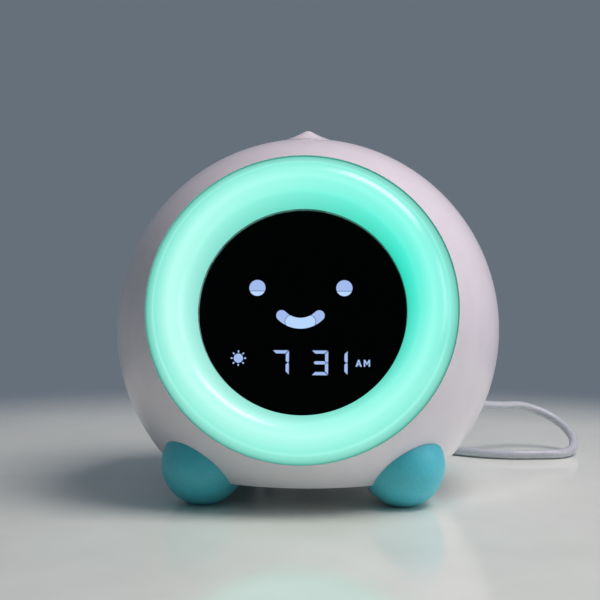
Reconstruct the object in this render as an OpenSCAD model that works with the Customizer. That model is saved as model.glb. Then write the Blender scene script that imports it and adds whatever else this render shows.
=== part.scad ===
// A child's bedside alarm clock with a night light, in millimetres, +Z up.
// A ball-shaped housing, flat below and behind, stands on four round feet. A glowing ring
// frames a round display in front. The clock faces -Y and its soles stand on Z = 0.

/* [Housing] */
// Diameter of the ball-shaped housing
body_d = 150; // [144:0.5:158]
// Wall of the two shells
shell_wall = 2.5; // [2:0.1:3.2]
// Depth of the flat bottom below the ball's centre, as a share of the ball's radius
bottom_share = 0.707; // [0.69:0.001:0.72]
// Distance of the flat back behind the ball's centre, as a share of the ball's radius
back_share = 0.773; // [0.765:0.001:0.785]
// Distance of the seam between the shells behind the ball's centre
seam_depth = 14; // [13:0.25:16]
// How far the seam's tongue reaches into the rear shell
tongue_reach = 3; // [2:0.25:4]
// Depth of the groove along the seam
seam_groove = 0.4; // [0.2:0.05:0.6]
// Running gap between a loose part and the shell round it
part_gap = 0.3; // [0.2:0.05:0.4]

/* [Face] */
// Backward lean of the face
face_lean = 14.4; // [12:0.1:15.5]
// Radius of the light ring's outer edge
rim_r = 56.8; // [56:0.1:58]
// Depth of the seat under the light ring below the housing's edge
ring_depth = 2.5; // [2:0.1:3]
// Distance of the light ring's crest inside its outer edge
crest_in = 9; // [8.6:0.1:9.8]
// Roundness of the crest
crest_round = 6.5; // [5.5:0.1:7]
// Wall of the light ring
ring_wall = 2.2; // [1.6:0.1:2.6]
// Width of the lower lip at the light ring's outer edge
lip_w = 3; // [2.4:0.1:3.4]
// Depth of that lip below the housing's surface
lip_drop = 0.6; // [0.3:0.05:1]
// Width of the light ring across the face
ring_w = 18.3; // [17.8:0.1:19]
// Depth of the window's front below the light ring's seat
window_sink = 5; // [4.5:0.1:5.5]
// Thickness of the window
window_t = 2; // [1.6:0.1:2.4]
// How far the window reaches under the light ring
window_lap = 2.7; // [2.5:0.1:3]
// Thickness of the display panel
lcd_t = 2.1; // [1.8:0.1:2.4]
// Thickness of the backlight
backlight_t = 3.2; // [2.6:0.1:3.6]
// Thickness of the lit marks on the display panel
mark_t = 0.15; // [0.1:0.01:0.2]

/* [Display marks] */
// How far the marks lie left of the display's middle
marks_left = 0.8; // [0:0.1:1.2]
// Distance of each eye from the middle
eye_x = 16.1; // [14:0.1:18]
// Height of the eyes above the middle
eye_y = 8.9; // [7:0.1:11]
// Radius of an eye
eye_r = 3; // [2.5:0.1:3.5]
// Radius of the smile's centre line
smile_r = 9.8; // [9:0.1:11]
// Height of the smile's centre above the middle
smile_y = 5.5; // [5:0.1:7]
// Width of the smile's line
smile_w = 4; // [3:0.1:4.6]
// Half of the angle that the smile spans
smile_half = 45; // [40:1:52]
// Height of the time's digits
digit_h = 9.1; // [8:0.1:10]
// Width of a digit
digit_w = 6.1; // [5.4:0.1:6.4]
// Width of a digit's stroke
stroke = 1.2; // [1:0.05:1.4]
// Height of the digits' foot below the middle
digit_drop = 23.5; // [22.5:0.1:24]
// Gap between two lit marks
mark_gap = 0.2; // [0.15:0.05:0.3]

/* [Top button] */
// Radius of the top button
button_r = 8.4; // [8:0.1:9]
// Height of the button's tip above the ball
tip_h = 3; // [2:0.1:4]
// Roundness of the tip
tip_r = 3.5; // [3:0.1:4]
// Roundness of the hollow flanks
flank_r = 40; // [30:1:60]
// Travel of the top button
button_travel = 1; // [0.6:0.1:1.2]

/* [Back] */
// Width of the flat rim round the rear panel
panel_rim = 2.5; // [2.3:0.1:3]
// Thickness of the rear panel
panel_t = 2.2; // [1.8:0.1:2.6]
// Radius of a key
key_r = 4.4; // [4:0.1:4.8]
// Distance of the keys' middles inside the rear panel's edge
key_inset = 13; // [12:0.25:14]
// Angle between neighbouring keys
key_step = 25; // [23:0.5:27]
// How far a key stands out of the panel
key_proud = 1.5; // [1.2:0.1:2]
// Travel of a key
key_travel = 0.6; // [0.4:0.05:0.8]
// Radial clearance of a key in its hole
key_gap = 0.1; // [0.06:0.01:0.15]
// Radius of the loudspeaker
speaker_r = 18; // [16:0.25:18.5]
// Distance of the power socket from the middle
jack_x = 14; // [12:0.25:16]
// Distance of the power socket's middle inside the rear panel's edge, straight up
jack_inset = 9; // [8.5:0.25:10]

/* [Feet] */
// Diameter of a foot
foot_d = 31; // [30:0.1:32]
// How far a foot's centre lies inside the ball
foot_sink = 4.3; // [3.8:0.1:4.8]
// Angle of a foot away from straight down
foot_polar = 48.2; // [47.5:0.1:49.5]
// How much of a foot is cut off flat at the sole
foot_shave = 0.8; // [0.4:0.1:1.2]

/* [Battery case] */
// Length of a battery cell
cell_l = 44.5; // [44:0.1:45]
// Diameter of a battery cell
cell_d = 10.4; // [10:0.1:10.6]
// Wall of the battery case
case_wall = 1.6; // [1.2:0.1:2]
// Radius of the base plate
base_r = 38.2; // [38:0.1:38.8]
// Thickness of the base plate and the battery door
base_t = 1.5; // [1.2:0.1:1.8]

/* [Power lead] */
// Diameter of the lead
cord_d = 4; // [3.6:0.1:4.2]
// Radius of the middle of the coil's turns
coil_mid_r = 23; // [21:0.5:26]
// Turns in each layer of the coil
layer_turns = 2.0625; // [1.8125:0.25:2.3125]
// Layers in the coil
coil_layers = 4; // [4:2:4]
// Gap between neighbouring turns
turn_gap = 0.5; // [0.45:0.05:0.8]

/* [Hidden] */

// Colours
shell_white = "#f1eff2";
mint = "#8ff5dd";
teal = "#4c9aa8";
display_black = "#08090c";
lit_blue = "#bcd0fa";
board_green = "#1f6b45";
inner_white = "#e6e6e2";
steel = "#b9bcc0";
dark = "#26282b";
gold = "#c9a54a";
lead_white = "#e8e8ea";

// Roundness of the drawn curves
fine = 128;
round_fn = 48;

// Housing
body_r = body_d / 2;
bottom_drop = bottom_share * body_r;
back_depth = back_share * body_r;
cavity_r = body_r - shell_wall;
floor_t = shell_wall;
foot_r = foot_d / 2;
foot_reach = body_r - foot_sink;
foot_drop = foot_reach * cos(foot_polar);
foot_out = foot_reach * sin(foot_polar);
centre_h = foot_drop + foot_r - foot_shave;
rim_f = sqrt(body_r * body_r - rim_r * rim_r);
ring_seat = rim_f - ring_depth;
crest_r = rim_r - crest_in;
crest_f = sqrt(pow(body_r - crest_round, 2) - crest_r * crest_r);
face_reach = crest_f * cos(face_lean) + crest_r * sin(face_lean) + crest_round;
back_reach = back_depth + key_proud;
body_y = (face_reach - back_reach) / 2;

// Face, radii and heights along the face's axis
view_r = rim_r - ring_w;
window_top = ring_seat - window_sink;
window_r = view_r + window_lap;
window_back = window_top - window_t;
ledge_t = 2.5;
ledge_r = rim_r - ring_wall - 0.6;
seat_gap = 0.2;
collar_r = window_r + seat_gap;
collar_wall = 2.2;
collar_top = window_back + 1.6;
pocket_r = view_r - 0.2;
lcd_r = pocket_r - seat_gap;
lcd_front = window_back - mark_t - 0.05;
lcd_back = lcd_front - lcd_t;
frame_back = lcd_back - backlight_t;
flange_t = 2;
frame_front = frame_back + flange_t;
face_boss_r = 2.3;
face_boss_pcd = ledge_r + face_boss_r;
flange_r = face_boss_pcd + face_boss_r;
face_boss_n = 6;
plate_t = 1.8;
plate_back = frame_back - plate_t;
plate_r = collar_r + collar_wall;
plate_screw_pcd = (pocket_r + plate_r) / 2;

// Main board behind the display
board_t = 1.6;
main_w = 60;
main_h = 48;
standoff_l = 6.6;
standoff_r = 2.6;
main_front = plate_back - standoff_l;
main_back = main_front - board_t;
main_hole_x = main_w / 2 - 5;
main_hole_y = main_h / 2 - 5;

// Ring of lamps
led_n = 18;
led_board_in = plate_r + 0.3;
led_board_out = ledge_r - 0.8;
led_mid_r = (led_board_in + led_board_out) / 2;
led_w = 3.5;
led_l = 2.8;
led_h = 1.9;

// Screws
screw_r = 1.1;
pilot_r = screw_r + 0.05;
screw_hole_r = screw_r + 0.25;
head_r = 2.2;
head_t = 1.4;
screw_bite = 5;

// Top button and its switch
guide_gap = 0.1;
button_t = 2.4;
guide_wall = 2.4;
guide_low = cavity_r - 5;
hook_t = 1.4;
hook_r = button_r + 1.4;
skirt_wall = 1.6;
stem_r = 2.5;
switch_w = 12;
switch_body_h = 3.6;
switch_nub_h = 0.9;
switch_nub_r = 3.4;
top_switch_drop = 18;
top_board_z = cavity_r - top_switch_drop;
switch_top = top_board_z + switch_body_h + switch_nub_h;
stem_low = switch_top + button_travel + 0.1;
top_post_x = hook_r + 5;
top_post_r = 3;
tip_z = body_r + tip_h - tip_r;
tip_edge = 0.15;
edge_z = sqrt(body_r * body_r - button_r * button_r) + tip_edge;
tip_to_edge = norm([button_r, edge_z - tip_z]);
edge_turn = atan2(edge_z - tip_z, button_r);
flank_to_tip = flank_r + tip_r - 0.02;
flank_along = (pow(flank_to_tip, 2) - pow(flank_r, 2) + pow(tip_to_edge, 2)) / (2 * tip_to_edge);
flank_turn = edge_turn + acos(flank_along / flank_to_tip);
flank_at = [0, tip_z] + flank_to_tip * [cos(flank_turn), sin(flank_turn)];

// Back
panel_r = sqrt(body_r * body_r - back_depth * back_depth) - panel_rim;
key_pcd_r = panel_r - key_inset;
jack_drop = panel_r - jack_inset;
recess_r = panel_r + 0.15;
panel_in = back_depth - panel_t;
rear_ledge_t = 2.5;
rear_ledge_r = panel_r - 4;
panel_screw_r = panel_r - 3.4;
key_n = 6;
key_flange_r = key_r + 1.2;
key_flange_t = 0.8;
key_stem_r = 1.6;
key_switch_w = 6;
key_switch_h = 3.5;
key_nub_h = 1;
key_nub_r = 1.7;
key_stem_l = 3.2;
key_top_out = back_depth + key_proud;
key_stem_in = panel_in - key_flange_t - key_stem_l;
key_board_out = key_stem_in - key_travel - 0.05 - key_nub_h - key_switch_h;
key_board_in = key_board_out - board_t;
key_board_r_in = key_pcd_r - 10;
key_board_r_out = key_pcd_r + 7;
key_post_r = 2.3;
speaker_y = -4;
speaker_wall = 1.6;
speaker_t = 3;
basket_h = 5;
basket_r = 10;
basket_wall = 0.8;
cone_edge = 2.6;
magnet_r = 11;
magnet_t = 5;
grille_step = 4.6;
grille_r = 1.1;
jack_nose_r = 3.2;
jack_w = 10;
jack_h = 10;
jack_l = 12;
bore_r = 1.8;
barrel_r = 1.75;
barrel_l = 9;
case_screw_x = 50;
case_screw_z = 22;
well_r = 3.4;
well_wall = 2;
well_floor = seam_depth + 5;
boss_r = 4;

// Base
base_gap = 0.3;
base_ledge_t = 3;
base_ledge_r = base_r - 5;
base_screw_pcd = base_r - 2.3;
base_boss_r = 3.4;
base_boss_h = 8;
base_top = -bottom_drop + base_t;
cells_w = 3 * cell_d + 1.4;
cavity_l = cell_l + 7.5;
case_h = cell_d + 2;
case_l = cavity_l + 6;
case_w = cells_w + 6;
door_l = cavity_l + 3;
door_w = cells_w + 3;
door_corner_r = norm([door_l, door_w]) / 2 - 0.9;
case_corner_r = base_ledge_r - base_gap;
door_gap = 0.2;
tab_r = 4.2;
tab_y = door_w / 2 + 2.4;
door_boss_r = 3;
door_boss_h = 7;
door_head_r = 2.6;

// Lead: where it leaves the plug, and the coil's numbers
plug_arm = 24;
plug_axis = 7.1;
cord_r = cord_d / 2;
plug_exit = [jack_x + plug_arm, body_y + back_depth + plug_axis, centre_h - jack_drop];
coil_at = [14, 114];
tie_t = 0.8;
tie_w = 4;
coil_pitch = cord_d + turn_gap;
coil_turns = layer_turns * coil_layers;
coil_out_r = coil_mid_r + coil_pitch * layer_turns / 2;
coil_in_r = coil_mid_r - coil_pitch * layer_turns / 2;
coil_z = tie_t + 0.2 + cord_r;
coil_rings = 24;
coil_sides = 6;
cord_sides = 12;
lie_z = cord_r + 0.05;
usb_h = 7.6;

// Helpers for tubes that follow a list of points
function unit(v) = v / norm(v);
function tangent(p, i) = unit(p[min(i + 1, len(p) - 1)] - p[max(i - 1, 0)]);
function side_start(t) = unit(cross(t, abs(t.z) > 0.9 ? [1, 0, 0] : [0, 0, 1]));
function sides_along(p, i = 0, n = [0, 0, 0]) =
    i == len(p) ? [] :
    let (t = tangent(p, i), m = i == 0 ? side_start(t) : unit(n - t * (n * t)))
    concat([m], sides_along(p, i + 1, m));
function ring_points(p, r, sides) =
    let (ns = sides_along(p))
    [for (i = [0:len(p) - 1])
        let (t = tangent(p, i), b = cross(t, ns[i]))
        for (k = [0:sides - 1])
            p[i] + r * (cos(360 * k / sides) * ns[i] + sin(360 * k / sides) * b)];
function ring_faces(rings, sides) =
    concat(
        [for (i = [0:rings - 2]) for (k = [0:sides - 1])
            let (a = i * sides + k, b = i * sides + (k + 1) % sides)
            for (f = [[a, b + sides, b], [a, a + sides, b + sides]]) f],
        [for (k = [1:sides - 2]) [0, k, k + 1]],
        [for (k = [1:sides - 2]) let (e = (rings - 1) * sides) [e, e + k + 1, e + k]]);

// The coil: turns spiral in and out again, and climb a layer where the spiral turns back
climb = 0.5;
function steps_in(u) =
    let (m = u - 2 * layer_turns * floor(u / (2 * layer_turns)))
    min(m, 2 * layer_turns - m);
function climbed(u, k) =
    let (w = (u - k * layer_turns) / climb + 0.5)
    w <= 0 ? 0 : w >= 1 ? 1 : (1 - cos(180 * w)) / 2;
function layer_height(u) =
    coil_pitch * (climbed(u, 1) + climbed(u, 2) + climbed(u, 3));
function coil_point(u) =
    let (r = coil_out_r - coil_pitch * steps_in(u))
    [coil_at.x + r * cos(360 * u), coil_at.y + r * sin(360 * u), coil_z + layer_height(u)];
coil_count = round(coil_turns * coil_rings);
wound = [for (i = [0:coil_count]) coil_point(i * coil_turns / coil_count)];
coil_start = wound[0] - cord_d * unit(wound[1] - wound[0]);
coil_end = wound[coil_count] + cord_d * unit(wound[coil_count] - wound[coil_count - 1]);
coil_path = concat([coil_start], wound, [coil_end]);
coil_gap = min([for (i = [0:2:coil_count]) for (j = [i + coil_rings / 2:coil_count])
                norm(wound[i] - wound[j])]) - cord_d;
// The lead from the plug to the coil, in hand-chosen points
lead_points = concat(
    [plug_exit, plug_exit + [6, 0, 0]],
    [[55, 71.2, 24.4], [66, 76.8, 22.6], [76, 82.5, 20.9], [84, 87.2, 19.9], [92.7, 92.4, 19.33],
     [98.9, 94.2, 17.65], [105.3, 93.3, 15.14], [110.8, 89.8, 11.96], [114.4, 84.5, 8.57],
     [115.5, 78.2, 5.49], [113.9, 71.9, 3.23], [110, 66.8, 2.12], [104.3, 63.8, lie_z],
     [97, 62.9, lie_z], [89, 62, lie_z], [80.5, 62.8, lie_z], [72.5, 65.3, lie_z],
     [65, 69.2, lie_z], [57.8, 74.6, lie_z], [51.2, 82, 2.1], [46.2, 91, 2.4]],
    [coil_start - cord_d * unit(wound[1] - wound[0]), coil_start]);

// The free end from the coil to its plug
usb_exit = [-35, 106, usb_h / 2 + 0.1];
tail_points = concat(
    [coil_end, coil_end + cord_d * unit(wound[coil_count] - wound[coil_count - 1])],
    [[2, 142.1, 16.3], [-6, 141, 14.6], [-13.4, 138.4, 12.1], [-20, 134.4, 9.5],
     [-25.9, 129.2, 7.2], [-30.6, 122.7, 5.4], [-33.8, 115.5, 4.3]],
    [usb_exit + [0, 5, 0], usb_exit]);

function length_of(p) = [for (i = [1:len(p) - 1]) norm(p[i] - p[i - 1])] * [for (i = [1:len(p) - 1]) 1];
echo(coil_least_gap = coil_gap);
echo(lead_length = length_of(lead_points) + length_of(coil_path) + length_of(tail_points));

// Frames: the housing's centre, the face's axis as +Z, and the back's axis as +Z
module in_body() { translate([0, body_y, centre_h]) children(); }
module on_face() { in_body() rotate([90 - face_lean, 0, 0]) children(); }
module on_back() { in_body() rotate([90, 0, 180]) children(); }
module face_frame_in_body() { rotate([90 - face_lean, 0, 0]) children(); }
module back_frame_in_body() { rotate([90, 0, 180]) children(); }

// Small shared shapes
module disc(r, low, high, fn = round_fn) {
    translate([0, 0, low]) cylinder(r = r, h = high - low, $fn = fn);
}
module ring(r_in, r_out, low, high, fn = fine) {
    difference() {
        disc(r_out, low, high, fn);
        disc(r_in, low - 1, high + 1, fn);
    }
}
module plate(w, h, low, high) {
    translate([-w / 2, -h / 2, low]) cube([w, h, high - low]);
}
module around(n, r, turn = 0) {
    for (k = [0:n - 1]) rotate(turn + 360 * k / n) translate([r, 0, 0]) children();
}
module at_corners(x, y) {
    for (sx = [-1, 1]) for (sy = [-1, 1]) translate([sx * x, sy * y, 0]) children();
}
// A pan-head screw: its head's underside is at the origin and its shaft runs along +Z
module screw(bite) {
    disc(head_r, -head_t, 0);
    disc(screw_r, -0.2, bite);
}
module tube(p, r, sides) {
    polyhedron(ring_points(p, r, sides), ring_faces(len(p), sides));
}

// Housing
module ball(r) { sphere(r = r, $fn = fine); }
module half_space_y(from, to) {
    translate([-body_r - 1, from, -body_r - 1]) cube([2 * body_r + 2, to - from, 2 * body_r + 2]);
}
module housing_solid() {
    intersection() {
        ball(body_r);
        translate([-body_r, -body_r, -bottom_drop]) cube([2 * body_r, body_r + back_depth, 2 * body_r]);
    }
}
module cavity() {
    intersection() {
        ball(cavity_r);
        translate([-body_r, -body_r, -bottom_drop + floor_t]) cube(2 * body_r);
    }
}
module shell_part(from, to) {
    difference() {
        intersection() {
            housing_solid();
            half_space_y(from, to);
        }
        cavity();
    }
}
module inside_wall() {
    intersection() {
        ball(body_r - shell_wall / 2);
        translate([-body_r, -body_r, -bottom_drop + floor_t / 2]) cube(2 * body_r);
        children();
    }
}
module foot_axes(sx, sy) {
    rotate([0, 0, atan2(sy, sx)]) rotate([0, 180 - foot_polar, 0]) children();
}
peg_r = 4;
peg_head_r = 5.6;
module foot_holes(sy) {
    for (sx = [-1, 1]) foot_axes(sx, sy) disc(peg_r + 0.1, cavity_r - 3, body_r + 3);
}
module base_seat(from, to) {
    // Ledge that the base plate lies against, with two screw bosses
    inside_wall() intersection() {
        half_space_y(from, to);
        ring(base_ledge_r, base_r + 2.6, base_top, base_top + base_ledge_t);
    }
}
module base_bosses(turns) {
    for (a = turns) rotate(a) translate([base_screw_pcd, 0, 0])
        disc(base_boss_r, base_top, base_top + base_boss_h);
}
module base_cut(turns) {
    disc(base_r + base_gap, -bottom_drop - 1, base_top, fine);
    disc(base_ledge_r, -bottom_drop - 1, base_top + base_ledge_t + 1, fine);
    for (a = turns) rotate(a) translate([base_screw_pcd, 0, 0])
        disc(pilot_r, base_top - 1, base_top + screw_bite + 0.5);
}
front_base_turns = [240, 300];
rear_base_turns = [60, 120];
module case_boss(sx, low, high, r) {
    translate([sx * case_screw_x, 0, case_screw_z]) rotate([-90, 0, 0]) disc(r, low, high);
}

module front_shell() {
    color(shell_white) in_body() difference() {
        union() {
            shell_part(-body_r - 1, seam_depth);
            inside_wall() face_frame_in_body()
                ring(ledge_r, body_r, ring_seat - ledge_t, ring_seat);
            inside_wall() face_frame_in_body() around(face_boss_n, face_boss_pcd)
                disc(face_boss_r, frame_front, ring_seat - ledge_t + 0.5);
            base_seat(-body_r, seam_depth);
            base_bosses(front_base_turns);
            // Guide of the top button and posts of its switch board
            inside_wall() ring(button_r + guide_gap, button_r + guide_wall, guide_low, body_r);
            for (sx = [-1, 1]) inside_wall() translate([sx * top_post_x, 0, 0])
                disc(top_post_r, top_board_z, body_r);
            // Bosses of the case screws, each on a rib to the wall
            for (sx = [-1, 1]) {
                case_boss(sx, -12, seam_depth, boss_r);
                inside_wall() translate([sx * (case_screw_x + boss_r - 1), -12, case_screw_z - 1])
                    translate([sx > 0 ? 0 : -body_r, 0, 0]) cube([body_r, seam_depth + 12, 2]);
            }
            above_floor() rotate([-90, 0, 0]) {
                ring(tongue_in, tongue_out, seam_depth - 3, seam_depth + tongue_reach);
                ring(tongue_in, cavity_r, seam_depth - 5, seam_depth - 2);
            }
        }
        face_frame_in_body() disc(rim_r + part_gap, ring_seat, body_r + 1, fine);
        face_frame_in_body() around(face_boss_n, face_boss_pcd)
            disc(pilot_r, frame_front - 1, frame_front + screw_bite - 1);
        disc(button_r + guide_gap, guide_low - 1, body_r + 1, fine);
        for (sx = [-1, 1]) translate([sx * top_post_x, 0, 0])
            disc(pilot_r, top_board_z - 1, top_board_z + screw_bite);
        for (sx = [-1, 1]) case_boss(sx, -8, seam_depth + 1, pilot_r);
        base_cut(front_base_turns);
        foot_holes(-1);
        seam_cut();
    }
}
// The groove that the two shells leave along their seam, half in each
module seam_cut() {
    seam_r = sqrt(body_r * body_r - seam_depth * seam_depth);
    rotate([-90, 0, 0]) rotate_extrude($fn = fine) polygon([[seam_r - seam_groove, seam_depth],
        [seam_r + 1, seam_depth - seam_groove - 1], [seam_r + 1, seam_depth + seam_groove + 1]]);
}
// What of a shape lies above the inside of the flat bottom
module above_floor() {
    intersection() {
        translate([-body_r, -body_r, -bottom_drop + floor_t + 0.2]) cube(2 * body_r);
        children();
    }
}
tongue_out = sqrt(pow(cavity_r, 2) - pow(seam_depth + tongue_reach, 2)) - 0.3;
tongue_in = tongue_out - 1.2;

module rear_shell() {
    color(shell_white) in_body() difference() {
        union() {
            shell_part(seam_depth, back_depth);
            inside_wall() rotate([-90, 0, 0])
                ring(rear_ledge_r, body_r, panel_in - rear_ledge_t, panel_in);
            inside_wall() back_frame_in_body() around(4, panel_screw_r)
                disc(head_r + 0.8, panel_in - 7, panel_in);
            base_seat(seam_depth, body_r);
            base_bosses(rear_base_turns);
            for (sx = [-1, 1]) inside_wall() case_boss(sx, seam_depth, well_floor, boss_r);
            for (sx = [-1, 1]) inside_wall() case_boss(sx, well_floor - 2, back_depth, well_r + well_wall);
        }
        rotate([-90, 0, 0]) disc(recess_r, panel_in, back_depth + 1, fine);
        back_frame_in_body() around(4, panel_screw_r) disc(pilot_r, panel_in - screw_bite, panel_in + 1);
        for (sx = [-1, 1]) {
            case_boss(sx, seam_depth - 1, well_floor + 1, screw_hole_r);
            case_boss(sx, well_floor, body_r, well_r);
        }
        // Notch in the panel's ledge for the power socket
        back_frame_in_body() translate(jack_at)
            plate(jack_w + 2 * part_gap, jack_h + 2 * part_gap, panel_in - rear_ledge_t - 1, panel_in);
        base_cut(rear_base_turns);
        foot_holes(1);
        seam_cut();
    }
}
module case_screws() {
    color(steel) in_body() for (sx = [-1, 1])
        translate([sx * case_screw_x, well_floor, case_screw_z]) rotate([90, 0, 0]) screw(well_floor + 4);
}

// Base plate with the battery case
module rounded_plan(l, w, corner) {
    intersection() {
        square([l, w], center = true);
        circle(r = corner, $fn = fine);
    }
}
module door_plan(extra) {
    rounded_plan(door_l + 2 * extra, door_w + 2 * extra, door_corner_r + extra);
    translate([0, tab_y]) circle(r = tab_r + extra, $fn = round_fn);
}
module base_plate() {
    color(shell_white) in_body() difference() {
        union() {
            disc(base_r, -bottom_drop, base_top, fine);
            translate([0, 0, base_top - 0.5])
                linear_extrude(case_h + case_wall + 0.5) rounded_plan(case_l, case_w, case_corner_r);
            translate([0, tab_y, 0]) disc(door_boss_r, base_top - 0.5, base_top + door_boss_h);
        }
        translate([0, 0, -bottom_drop - 1]) linear_extrude(base_t + 1) door_plan(door_gap);
        plate(cavity_l, cells_w, -bottom_drop - 1, base_top + case_h);
        translate([0, tab_y, 0]) disc(pilot_r, base_top - 1, base_top + screw_bite);
        for (a = concat(front_base_turns, rear_base_turns)) rotate(a)
            translate([base_screw_pcd, 0, 0]) disc(screw_hole_r, -bottom_drop - 1, base_top + 1);
    }
}
module base_screws() {
    color(steel) in_body() for (a = concat(front_base_turns, rear_base_turns)) rotate(a)
        translate([base_screw_pcd, 0, -bottom_drop]) screw(screw_bite + base_t - 0.5);
}
module battery_door() {
    color(shell_white) in_body() difference() {
        translate([0, 0, -bottom_drop]) linear_extrude(base_t) door_plan(0);
        translate([0, tab_y, -bottom_drop]) {
            disc(screw_hole_r, -1, base_t + 1);
            translate([0, 0, -0.01])
                cylinder(r1 = door_head_r + 0.1, r2 = screw_hole_r, h = base_t - 0.3, $fn = round_fn);
        }
    }
}
module door_screw() {
    color(steel) in_body() translate([0, tab_y, -bottom_drop]) {
        cylinder(r1 = door_head_r, r2 = screw_r, h = base_t - 0.3, $fn = round_fn);
        disc(screw_r, 0, base_t + screw_bite - 1);
    }
}
cells_z = base_top + case_h - cell_d / 2 - 0.3;
module cell_rows() {
    for (k = [-1:1]) translate([0, k * (cell_d + 0.3), cells_z])
        rotate([0, k == 0 ? -90 : 90, 0]) children();
}
cell_shift = 2.6;
module battery_cells() {
    color("#3f6f9e") in_body() cell_rows() translate([0, 0, cell_shift - cell_l / 2]) {
        disc(cell_d / 2, 0, cell_l - 1.2);
        disc(1.9, cell_l - 1.3, cell_l);
    }
}
spring_r = 3.2;
wire_r = 0.3;
spring_l = cavity_l / 2 - (cell_l / 2 - cell_shift) - 0.5;
spring_curls = 3;
function spring_point(u) = [spring_r * (1 - 0.3 * u / spring_curls) * cos(360 * u),
                            spring_r * (1 - 0.3 * u / spring_curls) * sin(360 * u),
                            wire_r + (spring_l - 2 * wire_r) * u / spring_curls];
spring_path = [for (i = [0:8 * spring_curls]) spring_point(i / 8)];
module battery_springs() {
    color(steel) in_body() cell_rows() translate([0, 0, 0.5 - cavity_l / 2])
        tube(spring_path, wire_r, 6);
}
contact_w = 8;
contact_t = 0.4;
module battery_contacts() {
    color(gold) in_body() cell_rows() {
        plate(contact_w, contact_w, contact_t - cavity_l / 2 - 0.3, 2 * contact_t - cavity_l / 2 - 0.3);
        plate(contact_w, contact_w, cavity_l / 2 - contact_t - 0.1, cavity_l / 2 - 0.1);
    }
}

// Feet
module foot(sx, sy) {
    color(teal) in_body() {
        difference() {
            translate([sx * foot_out / sqrt(2), sy * foot_out / sqrt(2), -foot_drop])
                sphere(r = foot_r, $fn = 64);
            intersection() {
                ball(body_r + 0.1);
                translate([-body_r, -body_r, -bottom_drop - 0.1]) cube(2 * body_r);
            }
            translate([-body_r, -body_r, -centre_h - 2 * foot_r]) cube([2 * body_r, 2 * body_r, 2 * foot_r]);
        }
        foot_axes(sx, sy) disc(peg_r, cavity_r - 0.6, body_r + 1.5);
        above_floor() foot_axes(sx, sy) disc(peg_head_r, cavity_r - 2.4, cavity_r - 0.4);
    }
}
module foot_front_left() { foot(-1, -1); }
module foot_front_right() { foot(1, -1); }
module foot_rear_left() { foot(-1, 1); }
module foot_rear_right() { foot(1, 1); }

// Light ring: a hollow shell whose outline follows the ball, turns over a round crest and
// falls to the window
crest = [crest_r, crest_f];
past_ball = crest * (body_r + 0.5) / (body_r - crest_round);
foot_of_slope = [view_r, window_top];
slope_turn = atan2(crest.y - window_top, crest.x - view_r) + asin(crest_round / norm(crest - foot_of_slope));
slope_out = [-sin(slope_turn), cos(slope_turn)];
slope_dir = [cos(slope_turn), sin(slope_turn)];
function slope_touch(inset) = crest + (crest_round - inset) * slope_out;
function slope_at(inset, f) =
    let (p = slope_touch(inset)) p + slope_dir * (f - p.y) / slope_dir.y;
module ring_outline(inset, low_out, low_in) {
    translate(crest) circle(r = crest_round - inset, $fn = 64);
    intersection() {
        circle(r = body_r - inset, $fn = 4 * fine);
        polygon([crest, past_ball, [rim_r - lip_w, past_ball.y], [rim_r - lip_w, low_out],
                 [crest.x, low_out]]);
    }
    intersection() {
        circle(r = body_r - lip_drop - inset, $fn = 4 * fine);
        polygon([crest, [crest.x, 1.2 * crest.y], [rim_r - inset, 1.2 * crest.y],
                 [rim_r - inset, low_out], [crest.x, low_out]]);
    }
    polygon([crest, slope_touch(inset), slope_at(inset, low_in), [crest.x, low_in]]);
}
module light_ring() {
    color(mint) on_face() rotate_extrude($fn = fine) difference() {
        ring_outline(0, ring_seat, window_top);
        ring_outline(ring_wall, ring_seat - 1, window_top - 2);
        translate([crest.x, window_top - 2]) square([rim_r - ring_wall - crest.x, window_sink + 2]);
    }
}

// Display
module display_window() { color("#1b1d22", 0.6) on_face() disc(window_r, window_back, window_top, fine); }
module face_frame() {
    color(inner_white) on_face() difference() {
        union() {
            disc(flange_r, frame_back, frame_front, fine);
            disc(plate_r, frame_back, collar_top, fine);
        }
        disc(collar_r, window_back, collar_top + 1, fine);
        disc(pocket_r, frame_back - 1, collar_top + 1, fine);
        around(face_boss_n, face_boss_pcd) disc(screw_hole_r, frame_back - 1, frame_front + 1);
        around(4, plate_screw_pcd, 45) disc(pilot_r, frame_back - 1, frame_back + screw_bite - 1);
    }
}
module frame_screws() {
    color(steel) on_face() around(face_boss_n, face_boss_pcd)
        translate([0, 0, frame_back]) screw(flange_t + screw_bite - 2);
}
module lcd_panel() { color(display_black) on_face() disc(lcd_r, lcd_back, lcd_front, fine); }
module backlight() { color("#f4f6ff") on_face() disc(lcd_r, frame_back, lcd_back, fine); }
module display_plate() {
    color(dark) on_face() difference() {
        union() {
            disc(plate_r, plate_back, frame_back, fine);
            at_corners(main_hole_x, main_hole_y) disc(standoff_r, main_front, plate_back + 0.5);
        }
        around(4, plate_screw_pcd, 45) disc(screw_hole_r, plate_back - 1, frame_back + 1);
        at_corners(main_hole_x, main_hole_y) disc(pilot_r, main_front - 1, main_front + screw_bite);
    }
}
module plate_screws() {
    color(steel) on_face() around(4, plate_screw_pcd, 45)
        translate([0, 0, plate_back]) screw(plate_t + screw_bite - 2);
}
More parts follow.
